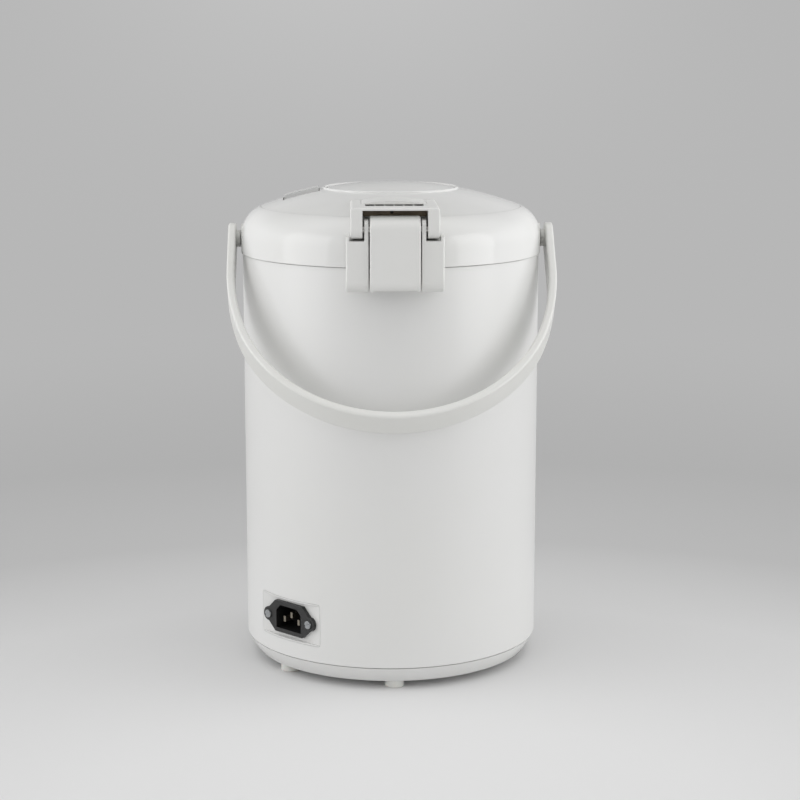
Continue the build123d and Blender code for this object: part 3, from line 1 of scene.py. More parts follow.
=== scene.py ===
import logging
import math
from dataclasses import dataclass, field, replace
from enum import Enum

import bmesh
import bpy
from mathutils import Matrix, Vector


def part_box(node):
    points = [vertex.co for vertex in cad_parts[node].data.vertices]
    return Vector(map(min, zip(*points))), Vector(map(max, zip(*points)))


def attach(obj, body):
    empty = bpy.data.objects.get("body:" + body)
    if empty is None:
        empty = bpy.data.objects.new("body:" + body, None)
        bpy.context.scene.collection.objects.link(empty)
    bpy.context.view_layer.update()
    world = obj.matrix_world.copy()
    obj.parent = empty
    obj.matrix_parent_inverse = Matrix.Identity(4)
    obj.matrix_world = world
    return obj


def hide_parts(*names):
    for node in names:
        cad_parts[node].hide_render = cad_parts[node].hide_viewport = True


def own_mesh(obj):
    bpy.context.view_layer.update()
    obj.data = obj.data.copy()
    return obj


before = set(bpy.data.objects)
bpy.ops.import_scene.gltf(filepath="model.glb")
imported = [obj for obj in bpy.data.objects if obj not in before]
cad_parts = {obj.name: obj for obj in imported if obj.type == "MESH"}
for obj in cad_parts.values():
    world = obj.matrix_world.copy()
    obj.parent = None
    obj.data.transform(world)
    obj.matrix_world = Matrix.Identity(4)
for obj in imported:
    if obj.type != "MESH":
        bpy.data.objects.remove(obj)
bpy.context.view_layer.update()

# Electric thermo pot, seen in a plain studio. Everything is in metres and in the frame of the CAD model:
# +Z is up, the spout faces -Y, the lid's hinge is at +Y and the origin is under the pot, between its feet.

log = logging.getLogger("thermo_pot")
MM = 0.001

NodeValue = float | int | str | bool | tuple
Point = tuple[float, float, float]
Flat = tuple[float, float]


# ------------------------------------------------------------------ colour and nodes
def linear(code: str) -> tuple[float, float, float, float]:
    """Turns an sRGB hex colour into the linear colour that a shader takes.

    Args:
        code: the colour as "#RRGGBB".

    Returns:
        Red, green, blue and alpha, each from 0 to 1.
    """
    channels = []
    for start in (1, 3, 5):
        value = int(code[start:start + 2], 16) / 255
        channels.append(value / 12.92 if value <= 0.04045 else ((value + 0.055) / 1.055) ** 2.4)
    return (*channels, 1.0)


def per_metre(wavelength_mm: float) -> float:
    """Texture scale, in cells for each metre, of a pattern whose cells are this long."""
    return 1.0 / (wavelength_mm * MM)


def add(
    tree: bpy.types.NodeTree,
    kind: str,
    settings: dict[str | int, NodeValue] | None = None,
    links: dict[str | int, bpy.types.NodeSocket] | None = None,
) -> bpy.types.Node:
    """Adds a node with its settings and its links.

    Args:
        tree: the material's node tree.
        kind: the node's type.
        settings: values by the name or the number of an input, or by the name of a property.
        links: the sockets that feed the inputs, by name or number.

    Returns:
        The new node.
    """
    node = tree.nodes.new(kind)
    for key, value in (settings or {}).items():
        if isinstance(key, str) and hasattr(node, key):
            setattr(node, key, value)
        else:
            node.inputs[key].default_value = value
    for key, socket in (links or {}).items():
        tree.links.new(socket, node.inputs[key])
    return node


# ------------------------------------------------------------------ finishes
@dataclass(frozen=True)
class Finish:
    """A surface: what it is made of, how it was made, and the numbers of its shader.

    The colour drifts a little between two close shades, as it does over any real moulding or sheet, and the
    gloss drifts with it where hands and cloths have been.
    """

    title: str
    colour: str
    roughness: float
    ior: float = 1.5
    metallic: float = 0.0
    second_colour: str = ""
    drift_mm: float = 60.0
    gloss_drift: float = 0.04
    grain_mm: float = 1.5
    grain_depth_mm: float = 0.004
    edge_mm: float = 0.0

    def material(self) -> bpy.types.Material:
        """Builds the material once and hands out the same one afterwards."""
        found = bpy.data.materials.get(self.title)
        if found is not None:
            return found
        made = bpy.data.materials.new(self.title)
        made.use_nodes = True
        tree = made.node_tree
        shader = tree.nodes["Principled BSDF"]
        shader.inputs["Base Color"].default_value = linear(self.colour)
        shader.inputs["Metallic"].default_value = self.metallic
        shader.inputs["Roughness"].default_value = self.roughness
        if self.metallic < 0.5:
            shader.inputs["IOR"].default_value = self.ior
        self.shade(tree, shader)
        made.diffuse_color = linear(self.colour)
        return made

    def shade(self, tree: bpy.types.NodeTree, shader: bpy.types.Node) -> None:
        """Adds the finish's own pattern to the shader."""
        place = add(tree, "ShaderNodeTexCoord").outputs["Object"]
        self.drift(tree, shader, place)
        self.relief(tree, shader, self.grain(tree, place))

    def drift(self, tree: bpy.types.NodeTree, shader: bpy.types.Node, place: bpy.types.NodeSocket) -> None:
        """Lets colour and gloss wander slowly over the surface."""
        cloud = add(
            tree,
            "ShaderNodeTexNoise",
            {"Scale": per_metre(self.drift_mm), "Detail": 3.0, "Roughness": 0.55},
            {"Vector": place},
        ).outputs["Fac"]
        if self.second_colour:
            ramp = add(tree, "ShaderNodeValToRGB", links={"Fac": cloud})
            ramp.color_ramp.elements[0].position = 0.35
            ramp.color_ramp.elements[0].color = linear(self.colour)
            ramp.color_ramp.elements[1].position = 0.7
            ramp.color_ramp.elements[1].color = linear(self.second_colour)
            tree.links.new(ramp.outputs["Color"], shader.inputs["Base Color"])
        low = max(0.0, self.roughness - self.gloss_drift)
        wander = add(
            tree,
            "ShaderNodeMapRange",
            {"From Min": 0.3, "From Max": 0.7, "To Min": low, "To Max": self.roughness + self.gloss_drift},
            {"Value": cloud},
        )
        tree.links.new(wander.outputs["Result"], shader.inputs["Roughness"])

    def grain(self, tree: bpy.types.NodeTree, place: bpy.types.NodeSocket) -> bpy.types.NodeSocket:
        """Height of the surface's fine grain."""
        return add(
            tree,
            "ShaderNodeTexNoise",
            {"Scale": per_metre(self.grain_mm), "Detail": 2.0, "Roughness": 0.5},
            {"Vector": place},
        ).outputs["Fac"]

    def relief(self, tree: bpy.types.NodeTree, shader: bpy.types.Node, height: bpy.types.NodeSocket) -> None:
        """Turns a height into relief, over softened edges where the finish has them."""
        bump = add(
            tree,
            "ShaderNodeBump",
            {"Strength": 1.0, "Distance": self.grain_depth_mm * MM},
            {"Height": height},
        )
        if self.edge_mm > 0:
            soft = add(tree, "ShaderNodeBevel", {"samples": 6, "Radius": self.edge_mm * MM})
            tree.links.new(soft.outputs["Normal"], bump.inputs["Normal"])
        tree.links.new(bump.outputs["Normal"], shader.inputs["Normal"])


@dataclass(frozen=True)
class CoatedSheet(Finish):
    """Steel sheet with a stoved paint: a clear skin over a slightly rougher colour, with orange peel."""

    skin: float = 0.3
    skin_roughness: float = 0.18

    def shade(self, tree: bpy.types.NodeTree, shader: bpy.types.Node) -> None:
        """Adds the clear skin to the drift and the orange peel."""
        shader.inputs["Coat Weight"].default_value = self.skin
        shader.inputs["Coat Roughness"].default_value = self.skin_roughness
        super().shade(tree, shader)


@dataclass(frozen=True)
class TurnedMetal(Finish):
    """Metal with fine lines round the pot's axis, as spinning and polishing leave them."""

    anisotropy: float = 0.4

    def grain(self, tree: bpy.types.NodeTree, place: bpy.types.NodeSocket) -> bpy.types.NodeSocket:
        """Rings: the height changes with the radius on a floor and with the level on a wall."""
        level = add(tree, "ShaderNodeSeparateXYZ", links={"Vector": place})
        flat = add(tree, "ShaderNodeCombineXYZ", links={"X": level.outputs["X"], "Y": level.outputs["Y"]})
        radius = add(tree, "ShaderNodeVectorMath", {"operation": "LENGTH"}, {0: flat.outputs["Vector"]})
        along = add(tree, "ShaderNodeMath", {"operation": "ADD"}, {0: radius.outputs["Value"], 1: level.outputs["Z"]})
        return add(
            tree,
            "ShaderNodeTexNoise",
            {"noise_dimensions": "1D", "Scale": per_metre(self.grain_mm), "Detail": 4.0},
            {"W": along.outputs["Value"]},
        ).outputs["Fac"]

    def shade(self, tree: bpy.types.NodeTree, shader: bpy.types.Node) -> None:
        """Adds the stretched highlight of brushed metal."""
        shader.inputs["Anisotropic"].default_value = self.anisotropy
        super().shade(tree, shader)


@dataclass(frozen=True)
class SoftMoulding(Finish):
    """Rubber or silicone: light goes a little way in, and the skin is dull."""

    depth_mm: float = 1.0
    glow: float = 0.15

    def shade(self, tree: bpy.types.NodeTree, shader: bpy.types.Node) -> None:
        """Adds the light that enters the skin."""
        shader.inputs["Subsurface Weight"].default_value = self.glow
        shader.inputs["Subsurface Scale"].default_value = self.depth_mm * MM
        super().shade(tree, shader)


@dataclass(frozen=True)
class ClearMoulding(Finish):
    """Clear plastic or glass, with faint flow lines from the mould or the drawing."""

    clearness: float = 0.95

    def shade(self, tree: bpy.types.NodeTree, shader: bpy.types.Node) -> None:
        """Lets the light through."""
        shader.inputs["Transmission Weight"].default_value = self.clearness
        super().shade(tree, shader)


@dataclass(frozen=True)
class Felted(Finish):
    """Needled felt: short fibres in every direction."""

    sheen: float = 0.4

    def grain(self, tree: bpy.types.NodeTree, place: bpy.types.NodeSocket) -> bpy.types.NodeSocket:
        """Fibres as stretched cells."""
        return add(
            tree,
            "ShaderNodeTexVoronoi",
            {"feature": "DISTANCE_TO_EDGE", "Scale": per_metre(self.grain_mm), "Randomness": 1.0},
            {"Vector": place},
        ).outputs["Distance"]

    def shade(self, tree: bpy.types.NodeTree, shader: bpy.types.Node) -> None:
        """Adds the pale edge light of loose fibres."""
        shader.inputs["Sheen Weight"].default_value = self.sheen
        super().shade(tree, shader)


# The white mouldings: ABS off a polished tool, so it reflects sharply under a very faint orange peel.
GLOSS_ABS = Finish(
    "abs_white_gloss_moulded", "#E0E0DF", 0.09, 1.5, second_colour="#DEDEDC", drift_mm=90.0, gloss_drift=0.015,
    grain_mm=5.0, grain_depth_mm=0.0012, edge_mm=0.5,
)
# The two plates set into the lid: the same moulding, whose rims are trimmed square rather than rounded.
TRIMMED_ABS = replace(GLOSS_ABS, title="abs_white_gloss_trimmed", edge_mm=0.12)
# The casing: sheet steel with a stoved white paint, softer in gloss than the lid, with a broad clear-coat sheen.
STOVED_CASING = CoatedSheet(
    "steel_sheet_stoved_white", "#E1E1E0", 0.34, 1.5, second_colour="#DFDFDD", drift_mm=140.0, gloss_drift=0.02,
    grain_mm=3.0, grain_depth_mm=0.0015, edge_mm=0.4,
)
# Bail and top frame: polypropylene, a touch warmer and softer in gloss than ABS.
SATIN_PP = Finish(
    "polypropylene_warm_white_moulded", "#E2E2DF", 0.34, 1.49, second_colour="#DFDFDB", gloss_drift=0.04,
    grain_mm=1.2, grain_depth_mm=0.003, edge_mm=0.9,
)
# Hinge parts: ABS from a finely sparked tool, satin, a touch warmer than the lid.
SATIN_ABS = Finish(
    "abs_warm_white_satin_moulded", "#E2E2E0", 0.3, 1.53, second_colour="#E0E0DD", gloss_drift=0.03,
    grain_mm=1.0, grain_depth_mm=0.0025, edge_mm=0.8,
)
# Inner mouldings nobody sees: plain natural polypropylene.
PLAIN_PP = Finish(
    "polypropylene_natural_moulded", "#D2D1CA", 0.48, 1.49, second_colour="#CBCAC1", grain_mm=0.6,
    grain_depth_mm=0.01,
)
# Inlet: black glass-filled nylon with a sparked skin that breaks the highlight up.
BLACK_NYLON = Finish(
    "nylon_glass_filled_black", "#131313", 0.42, 1.53, second_colour="#1B1B1B", drift_mm=14.0, grain_mm=0.35,
    grain_depth_mm=0.012, edge_mm=0.25,
)
# Thermostat: pressed phenolic, a brownish black without gleam.
BLACK_PHENOLIC = Finish(
    "phenolic_black_pressed", "#1A1817", 0.5, 1.6, second_colour="#24211F", drift_mm=9.0, grain_mm=0.4,
    grain_depth_mm=0.01,
)
# Blades of the inlet: brass under a thin nickel plate, its colour darkened well below bright nickel as painted shade
# for the inside of the socket.
NICKEL_BRASS = Finish(
    "brass_nickel_plated", "#8D877C", 0.38, metallic=1.0, second_colour="#817B6F", drift_mm=5.0, grain_mm=0.3,
    grain_depth_mm=0.003, edge_mm=0.15,
)
# Screws and brackets: steel with a blue zinc plate, slightly clouded.
ZINC_STEEL = Finish(
    "steel_zinc_plated", "#C9CBCC", 0.34, metallic=1.0, second_colour="#B5B8BB", drift_mm=4.0, gloss_drift=0.08,
    grain_mm=0.4, grain_depth_mm=0.004, edge_mm=0.2,
)
# Screws of the inlet: the same plate, darker and rougher.
DULLED_STEEL = replace(
    ZINC_STEEL, title="steel_zinc_dulled", colour="#A2A4A5", second_colour="#8F9295", roughness=0.42,
)
# Inner pot and lid plate: stainless spun and brushed round the axis; the lines are 0.5 mm apart, which is
# coarser than real, so that they show.
SPUN_STAINLESS = TurnedMetal(
    "stainless_spun_brushed", "#DCDBD8", 0.36, metallic=1.0, second_colour="#D2D1CE", grain_mm=0.5,
    grain_depth_mm=0.006,
)
# Hinge pin and springs: ground bar and wire, brighter than the spun pot.
GROUND_STAINLESS = TurnedMetal(
    "stainless_ground_bar", "#C4C3C0", 0.22, metallic=1.0, second_colour="#B8B7B3", drift_mm=8.0, grain_mm=0.3,
    grain_depth_mm=0.003, anisotropy=0.2,
)
# Feet: pale thermoplastic rubber, dull and a little dusty.
PALE_RUBBER = SoftMoulding(
    "rubber_pale_grey_moulded", "#DADAD6", 0.55, 1.5, second_colour="#D2D2CD", drift_mm=6.0, grain_mm=0.5,
    grain_depth_mm=0.01, depth_mm=0.5, glow=0.08, edge_mm=0.4,
)
# Seals, bellows and hoses: milky silicone that light enters.
MILKY_SILICONE = SoftMoulding(
    "silicone_milky_moulded", "#D8D6CF", 0.4, 1.41, second_colour="#CFCCC4", drift_mm=15.0, grain_mm=0.6,
    grain_depth_mm=0.006, depth_mm=1.5, glow=0.3,
)
# Insulation: grey-brown felt, with pale loose fibres at its edges.
NEEDLED_FELT = Felted(
    "felt_needled", "#A89E8C", 0.9, 1.5, second_colour="#94897A", drift_mm=12.0, grain_mm=1.2, grain_depth_mm=0.15,
)
# Gauge tube: drawn glass, clear and smooth.
DRAWN_GLASS = ClearMoulding(
    "glass_drawn_tube", "#F2F6F5", 0.04, 1.47, gloss_drift=0.01, grain_mm=20.0, grain_depth_mm=0.003,
)
# Level window: polycarbonate with a blue-grey tint and a little haze, so that it reads paler than the dark behind.
TINTED_PC = ClearMoulding(
    "polycarbonate_tinted", "#C9D3D8", 0.09, 1.58, gloss_drift=0.02, grain_mm=12.0, grain_depth_mm=0.004,
    clearness=0.6, edge_mm=0.3,
)
# Panel: reverse-printed polyester film, pebbled with a 0.3 mm texture.
PANEL_FILM = Finish(
    "polyester_film_pebbled", "#A9B1B8", 0.38, 1.57, second_colour="#A3ABB3", grain_mm=0.45, grain_depth_mm=0.012,
    edge_mm=0.3,
)
# Buttons: blue-grey ABS with a fine matt skin, darker than the panel round them.
BUTTON_ABS = Finish(
    "abs_blue_grey_moulded", "#6F7F8D", 0.4, 1.53, second_colour="#687886", drift_mm=12.0, grain_mm=0.5,
    grain_depth_mm=0.008, edge_mm=0.5,
)
# Lamps: amber acrylic that lets some light through.
AMBER_ACRYLIC = ClearMoulding(
    "acrylic_amber", "#D98A2B", 0.12, 1.49, grain_mm=3.0, grain_depth_mm=0.002, clearness=0.35,
)
# Control board: green solder mask over woven fibreglass.
SOLDER_MASK = Finish(
    "fibreglass_solder_mask", "#2C5E3A", 0.36, 1.5, second_colour="#24502F", drift_mm=5.0, grain_mm=0.6,
    grain_depth_mm=0.01,
)
# Heaters: rolled aluminium, clouded by heat.
HEATER_SHEATH = Finish(
    "aluminium_rolled_sheath", "#B4B1AA", 0.42, metallic=1.0, second_colour="#A29E95", drift_mm=9.0, gloss_drift=0.1,
    grain_mm=0.8, grain_depth_mm=0.02,
)
# Drive magnet: sintered ferrite, dark grey and stony.
SINTERED_FERRITE = Finish(
    "ferrite_sintered", "#2A2A2C", 0.55, 2.2, second_colour="#343437", drift_mm=4.0, grain_mm=0.3,
    grain_depth_mm=0.02,
)
# Pump and glide ring: unpigmented nylon, cream and waxy.
NATURAL_NYLON = Finish(
    "nylon_natural_moulded", "#D9D4C5", 0.42, 1.53, second_colour="#CFC9B8", drift_mm=14.0, grain_mm=0.5,
    grain_depth_mm=0.008,
)
# Painted shade: a dull brown sheet with a faint fibre, laid in the hinge's gap to stand for the warm shade there.
PAINTED_SHADE_BROWN = Finish(
    "painted_shade_brown", "#6A5A43", 0.5, 1.6, second_colour="#5E4F3A", drift_mm=7.0, grain_mm=0.4,
    grain_depth_mm=0.01,
)
# Rivet head on the painted-shade strip: a dull near-black, itself painted shade in the hinge's gap.
PAINTED_SHADE_NEAR_BLACK = Finish(
    "painted_shade_near_black", "#2B2724", 0.45, metallic=1.0, second_colour="#322D29", drift_mm=2.0, grain_mm=0.2,
    grain_depth_mm=0.004,
)
# Printed marks: matt screen inks, slate on the window and white on the buttons.
SLATE_INK = Finish(
    "screen_ink_slate", "#3C464E", 0.6, 1.5, second_colour="#434D55", drift_mm=4.0, grain_mm=0.25,
    grain_depth_mm=0.004,
)
WHITE_INK = Finish(
    "screen_ink_white", "#E4E6E6", 0.6, 1.5, second_colour="#DEE0E0", drift_mm=4.0, grain_mm=0.25,
    grain_depth_mm=0.004,
)


# ------------------------------------------------------------------ meshes
def mesh_piece(name: str, points: list[Point], faces: list[tuple[int, ...]]) -> bpy.types.Object:
    """Makes an object from points and faces, with its faces turned outwards.

    Args:
        name: the piece's name.
        points: the mesh's points, in metres.
        faces: each face as the numbers of its points.

    Returns:
        The new object, linked to the scene.
    """
    shape = bmesh.new()
    corners = [shape.verts.new(point) for point in points]
    for face in faces:
        shape.faces.new([corners[index] for index in face])
    bmesh.ops.recalc_face_normals(shape, faces=shape.faces)
    data = bpy.data.meshes.new(name)
    shape.to_mesh(data)
    shape.free()
    made = bpy.data.objects.new(name, data)
    bpy.context.scene.collection.objects.link(made)
    return made


def joined_prisms(name: str, prisms: list[tuple[list[Point], list[Point]]]) -> bpy.types.Object:
    """Makes one piece of several prisms, each between two outlines of the same number of points.

    Args:
        name: the piece's name.
        prisms: for each prism its lower and its upper outline.

    Returns:
        The new object.
    """
    points: list[Point] = []
    faces: list[tuple[int, ...]] = []
    for lower, upper in prisms:
        count = len(lower)
        start = len(points)
        points += lower + upper
        faces.append(tuple(range(start, start + count)))
        faces.append(tuple(range(start + count, start + 2 * count)))
        for index in range(count):
            after = (index + 1) % count
            faces.append((start + index, start + after, start + count + after, start + count + index))
    return mesh_piece(name, points, faces)


def smooth(piece: bpy.types.Object, angle: float = 32.0) -> None:
    """Shades a piece smoothly, apart from edges sharper than the angle in degrees."""
    data = piece.data
    shape = bmesh.new()
    shape.from_mesh(data)
    for edge in shape.edges:
        turn = edge.calc_face_angle(math.pi) if len(edge.link_faces) == 2 else math.pi
        edge.smooth = turn < math.radians(angle)
    for face in shape.faces:
        face.smooth = True
    shape.to_mesh(data)
    shape.free()


def paint(piece: bpy.types.Object, finish: Finish) -> None:
    """Gives a piece one finish and nothing else."""
    piece.data.materials.clear()
    piece.data.materials.append(finish.material())


# ------------------------------------------------------------------ sub-assemblies
@dataclass
class SubAssembly:
    """A group of pieces that belong together on the pot."""

    label: str = "sub-assembly"
    finishes: dict[str, Finish] = field(default_factory=dict)

    def build(self) -> list[bpy.types.Object]:
        """Makes the pieces that the CAD model leaves to the scene."""
        return []

    def dress(self) -> None:
        """Gives each CAD node of the group its finish."""
        for node, finish in self.finishes.items():
            paint(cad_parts[node], finish)

    def make(self) -> None:
        """Builds and dresses the group and reports it."""
        pieces = self.build()
        self.dress()
        log.info("%s: %d nodes dressed, %d pieces added", self.label, len(self.finishes), len(pieces))


@dataclass
class SwivelBase(SubAssembly):
    """Ring, feet, glide ring and what holds them."""

    label: str = "swivel base"
    finishes: dict[str, Finish] = field(default_factory=lambda: {
        "swivel_base": GLOSS_ABS,
        "base_feet": PALE_RUBBER,
        "glide_ring": NATURAL_NYLON,
        "swivel_retainer": ZINC_STEEL,
        "base_screws": ZINC_STEEL,
    })


@dataclass
class Casing(SubAssembly):
    """Casing, floor and the frame that closes it at the top."""

    label: str = "casing"
    finishes: dict[str, Finish] = field(default_factory=lambda: {
        "outer_shell": STOVED_CASING,
        "bottom_plate": PLAIN_PP,
        "top_frame": SATIN_PP,
        "tie_brackets": ZINC_STEEL,
        "inlet_panel": GLOSS_ABS,
        "insulation_sleeve": NEEDLED_FELT,
        "mouth_seal": MILKY_SILICONE,
    })


@dataclass
class InnerPot(SubAssembly):
    """Inner pot with its heaters."""

    label: str = "inner pot"
    finishes: dict[str, Finish] = field(default_factory=lambda: {
        "inner_pot": SPUN_STAINLESS,
        "heater_band": HEATER_SHEATH,
        "heater_plate": HEATER_SHEATH,
        "thermostat": BLACK_PHENOLIC,
    })


@dataclass
class WaterWay(SubAssembly):
    """Pump, hoses, gauge glass and nozzle."""

    label: str = "water way"
    finishes: dict[str, Finish] = field(default_factory=lambda: {
        "pump_housing": NATURAL_NYLON,
        "pump_cover": NATURAL_NYLON,
        "impeller": NATURAL_NYLON,
        "pump_motor": ZINC_STEEL,
        "drive_magnet": SINTERED_FERRITE,
        "suction_hose": MILKY_SILICONE,
        "delivery_hose": MILKY_SILICONE,
        "spout_pipe": MILKY_SILICONE,
        "gauge_tube": DRAWN_GLASS,
        "nozzle": PLAIN_PP,
    })


@dataclass
class LevelWindow(SubAssembly):
    """Window of the level gauge, with the scale printed on its face and a white strip behind the glass."""

    label: str = "level window"
    backing_half_width: float = 13.0 * MM  # tucked between the edges of the felt
    backing_low: float = 76.0 * MM
    backing_high: float = 232.0 * MM
    backing_thickness: float = 0.4 * MM
    backing_gap: float = 0.3 * MM  # behind the glass
    backing_lip: float = 2.5 * MM  # of its long edges, forward of its face
    casing_radius: float = 105.0 * MM
    ink_thickness: float = 0.05 * MM
    first_mark: float = 96.0 * MM
    pitch: float = 12.5 * MM
    marks: int = 10
    lengths: int = 6  # straight lengths in each mark
    long_half: float = 4.4 * MM
    short_half: float = 2.2 * MM
    stroke: float = 0.7 * MM
    finishes: dict[str, Finish] = field(default_factory=lambda: {"gauge_window": TINTED_PC})

    def build(self) -> list[bpy.types.Object]:
        """Prints a row of level marks, every second one long."""
        prisms = []
        for index in range(self.marks):
            level = self.first_mark + index * self.pitch
            half = self.long_half if index % 2 == 0 else self.short_half
            prisms += self.mark(level, half)
        scale = joined_prisms("level_marks", prisms)
        paint(scale, SLATE_INK)
        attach(scale, "pot")
        return [scale, self.backing()]

    def backing(self) -> bpy.types.Object:
        """Stands a white strip behind the gauge glass, with its long edges turned forward a little."""
        glass_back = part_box("gauge_tube")[1][1]
        front = glass_back + self.backing_gap
        back = front + self.backing_thickness
        lip = front - self.backing_lip
        half, edge = self.backing_half_width, self.backing_half_width - self.backing_thickness
        panels = (
            [(-half, lip), (-edge, lip), (-edge, front), (-half, back)],
            [(edge, front), (edge, lip), (half, lip), (half, back)],
            [(-edge, front), (edge, front), (half, back), (-half, back)],
        )
        prisms = [
            ([(x, y, self.backing_low) for x, y in panel], [(x, y, self.backing_high) for x, y in panel])
            for panel in panels
        ]
        strip = joined_prisms("gauge_backing", prisms)
        paint(strip, PLAIN_PP)
        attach(strip, "pot")
        return strip

    def mark(self, level: float, half: float) -> list[tuple[list[Point], list[Point]]]:
        """One stroke that follows the window's curve, in short straight lengths.

        Args:
            level: height of the stroke's middle.
            half: half its length.

        Returns:
            The prisms of the stroke.
        """
        prisms = []
        low, high = level - self.stroke / 2, level + self.stroke / 2
        for index in range(self.lengths):
            left = -half + 2 * half * index / self.lengths
            right = -half + 2 * half * (index + 1) / self.lengths
            outlines = []
            for radius in (self.casing_radius, self.casing_radius + self.ink_thickness):
                y_left = -math.sqrt(radius**2 - left**2)
                y_right = -math.sqrt(radius**2 - right**2)
                outlines.append([
                    (left, y_left, low), (right, y_right, low), (right, y_right, high), (left, y_left, high),
                ])
            prisms.append((outlines[0], outlines[1]))
        return prisms


@dataclass
class MainsInlet(SubAssembly):
    """Inlet, its blades and its screws."""

    label: str = "mains inlet"
    finishes: dict[str, Finish] = field(default_factory=lambda: {
        "inlet_socket": BLACK_NYLON,
        "inlet_pins": NICKEL_BRASS,
        "inlet_screws": DULLED_STEEL,
    })


@dataclass
class Hinge(SubAssembly):
    """Bracket, pin, flap and yoke, with a brown sheet of painted shade behind the barrel."""

    label: str = "hinge"
    arm: float = 7.8 * MM
    strip_wall: float = 109.0 * MM  # the yoke's wall that the strip lies on
    strip_thickness: float = 0.4 * MM
    strip_low: float = 327.2 * MM
    strip_high: float = 331.9 * MM
    strip_corner: float = 0.8 * MM
    strip_side_gap: float = 0.3 * MM  # to each arm of the yoke
    rivet_place: float = 1.9 * MM
    rivet_lift: float = 0.4 * MM  # above the strip's middle
    rivet_radius: float = 1.1 * MM
    rivet_sides: int = 20
    rivet_rings: tuple[Flat, ...] = ((1.0, 0.0), (1.0, 0.15), (0.8, 0.3), (0.45, 0.4))  # share of radius, rise in mm
    finishes: dict[str, Finish] = field(default_factory=lambda: {
        "hinge_bracket": SATIN_ABS,
        "bracket_screws": ZINC_STEEL,
        "hinge_pin": GROUND_STAINLESS,
        "flap_spring": GROUND_STAINLESS,
        "release_flap": SATIN_ABS,
        "hinge_yoke": SATIN_ABS,
        "steam_vent": SATIN_ABS,
    })

    def build(self) -> list[bpy.types.Object]:
        """Lays the brown painted-shade strip on the yoke's wall and sets a dark rivet head on it."""
        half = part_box("hinge_yoke")[1][0] - self.arm - self.strip_side_gap
        low, high, cut = self.strip_low, self.strip_high, self.strip_corner
        outline = [
            (-half + cut, low), (half - cut, low), (half, low + cut), (half, high),
            (-half, high), (-half, low + cut),
        ]
        front = self.strip_wall + self.strip_thickness
        # Painted shade: this brown strip stands for the shade in the gap behind the barrel.
        strip = joined_prisms(
            "hinge_painted_shade_strip",
            [([(x, self.strip_wall, z) for x, z in outline], [(x, front, z) for x, z in outline])],
        )
        paint(strip, PAINTED_SHADE_BROWN)
        rivet = self.rivet(front, (low + high) / 2 + self.rivet_lift)
        for piece in (strip, rivet):
            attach(piece, "lid")
        return [strip, rivet]

    def rivet(self, front: float, level: float) -> bpy.types.Object:
        """Turns the rivet's low domed head, a near-black dot of painted shade on the strip.

        Args:
            front: how far out the strip's face is.
            level: height of the rivet's middle.

        Returns:
            The rivet's head.
        """
        sides = self.rivet_sides
        points: list[Point] = []
        for share, rise in self.rivet_rings:
            for index in range(sides):
                angle = 2 * math.pi * index / sides
                points.append((
                    self.rivet_place + self.rivet_radius * share * math.cos(angle),
                    front + rise * MM,
                    level + self.rivet_radius * share * math.sin(angle),
                ))
        last = len(self.rivet_rings) - 1
        faces: list[tuple[int, ...]] = [tuple(range(sides)), tuple(range(last * sides, (last + 1) * sides))]
        for row in range(last):
            for index in range(sides):
                after = (index + 1) % sides
                low, high = row * sides, (row + 1) * sides
                faces.append((low + index, low + after, high + after, high + index))
        head = mesh_piece("hinge_shade_strip_rivet", points, faces)
        smooth(head, 50.0)
        paint(head, PAINTED_SHADE_NEAR_BLACK)
        return head


@dataclass
class Lid(SubAssembly):
    """Lid with its latch, its push plate, and the bellows and spring that the plate presses together."""

    label: str = "lid"
    push_stroke: float = 18.0 * MM
    squash_spare: float = 0.003  # share of the height left free under the plate
    finishes: dict[str, Finish] = field(default_factory=lambda: {
        "lid_shell": GLOSS_ABS,
        "lid_top_plate": TRIMMED_ABS,
        "push_plate": TRIMMED_ABS,
        "lock_slide": GLOSS_ABS,
        "lid_under_cover": PLAIN_PP,
        "lid_gasket": MILKY_SILICONE,
        "inner_lid_plate": SPUN_STAINLESS,
        "check_valve": MILKY_SILICONE,
        "lid_screws": ZINC_STEEL,
        "lid_latch": SATIN_PP,
        "latch_pin": ZINC_STEEL,
        "bellows": MILKY_SILICONE,
        "return_spring": GROUND_STAINLESS,
    })

    def build(self) -> list[bpy.types.Object]:
        """Stands copies of the bellows and the return spring in for their nodes, on the lid."""
        return [
            self.yielding("bellows", "bellows_skin", MILKY_SILICONE, "silicone"),
            self.yielding("return_spring", "return_spring_coils", GROUND_STAINLESS, "stainless"),
        ]

    def yielding(self, node: str, name: str, finish: Finish, slot: str) -> bpy.types.Object:
        """Stands a piece with the node's mesh in for the node, attached to the lid.

        Args:
            node: the node that the piece stands for.
            name: the piece's name.
            finish: its finish.
            slot: the record's slot for that finish; not used.

        Returns:
            The piece.
        """
        piece = bpy.data.objects.new(name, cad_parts[node].data.copy())
        bpy.context.scene.collection.objects.link(piece)
        paint(piece, finish)
        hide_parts(node)
        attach(piece, "lid")
        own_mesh(piece)
        return piece


@dataclass
class Bail(SubAssembly):
    """Carrying handle."""

    label: str = "bail"
    finishes: dict[str, Finish] = field(default_factory=lambda: {
        "bail_handle": SATIN_PP,
        "bail_retainers": ZINC_STEEL,
    })


class Symbol(Enum):
    """Printed symbols of the three buttons."""

    DROP = "drop"
    TURN = "turn"
    PADLOCK = "padlock"


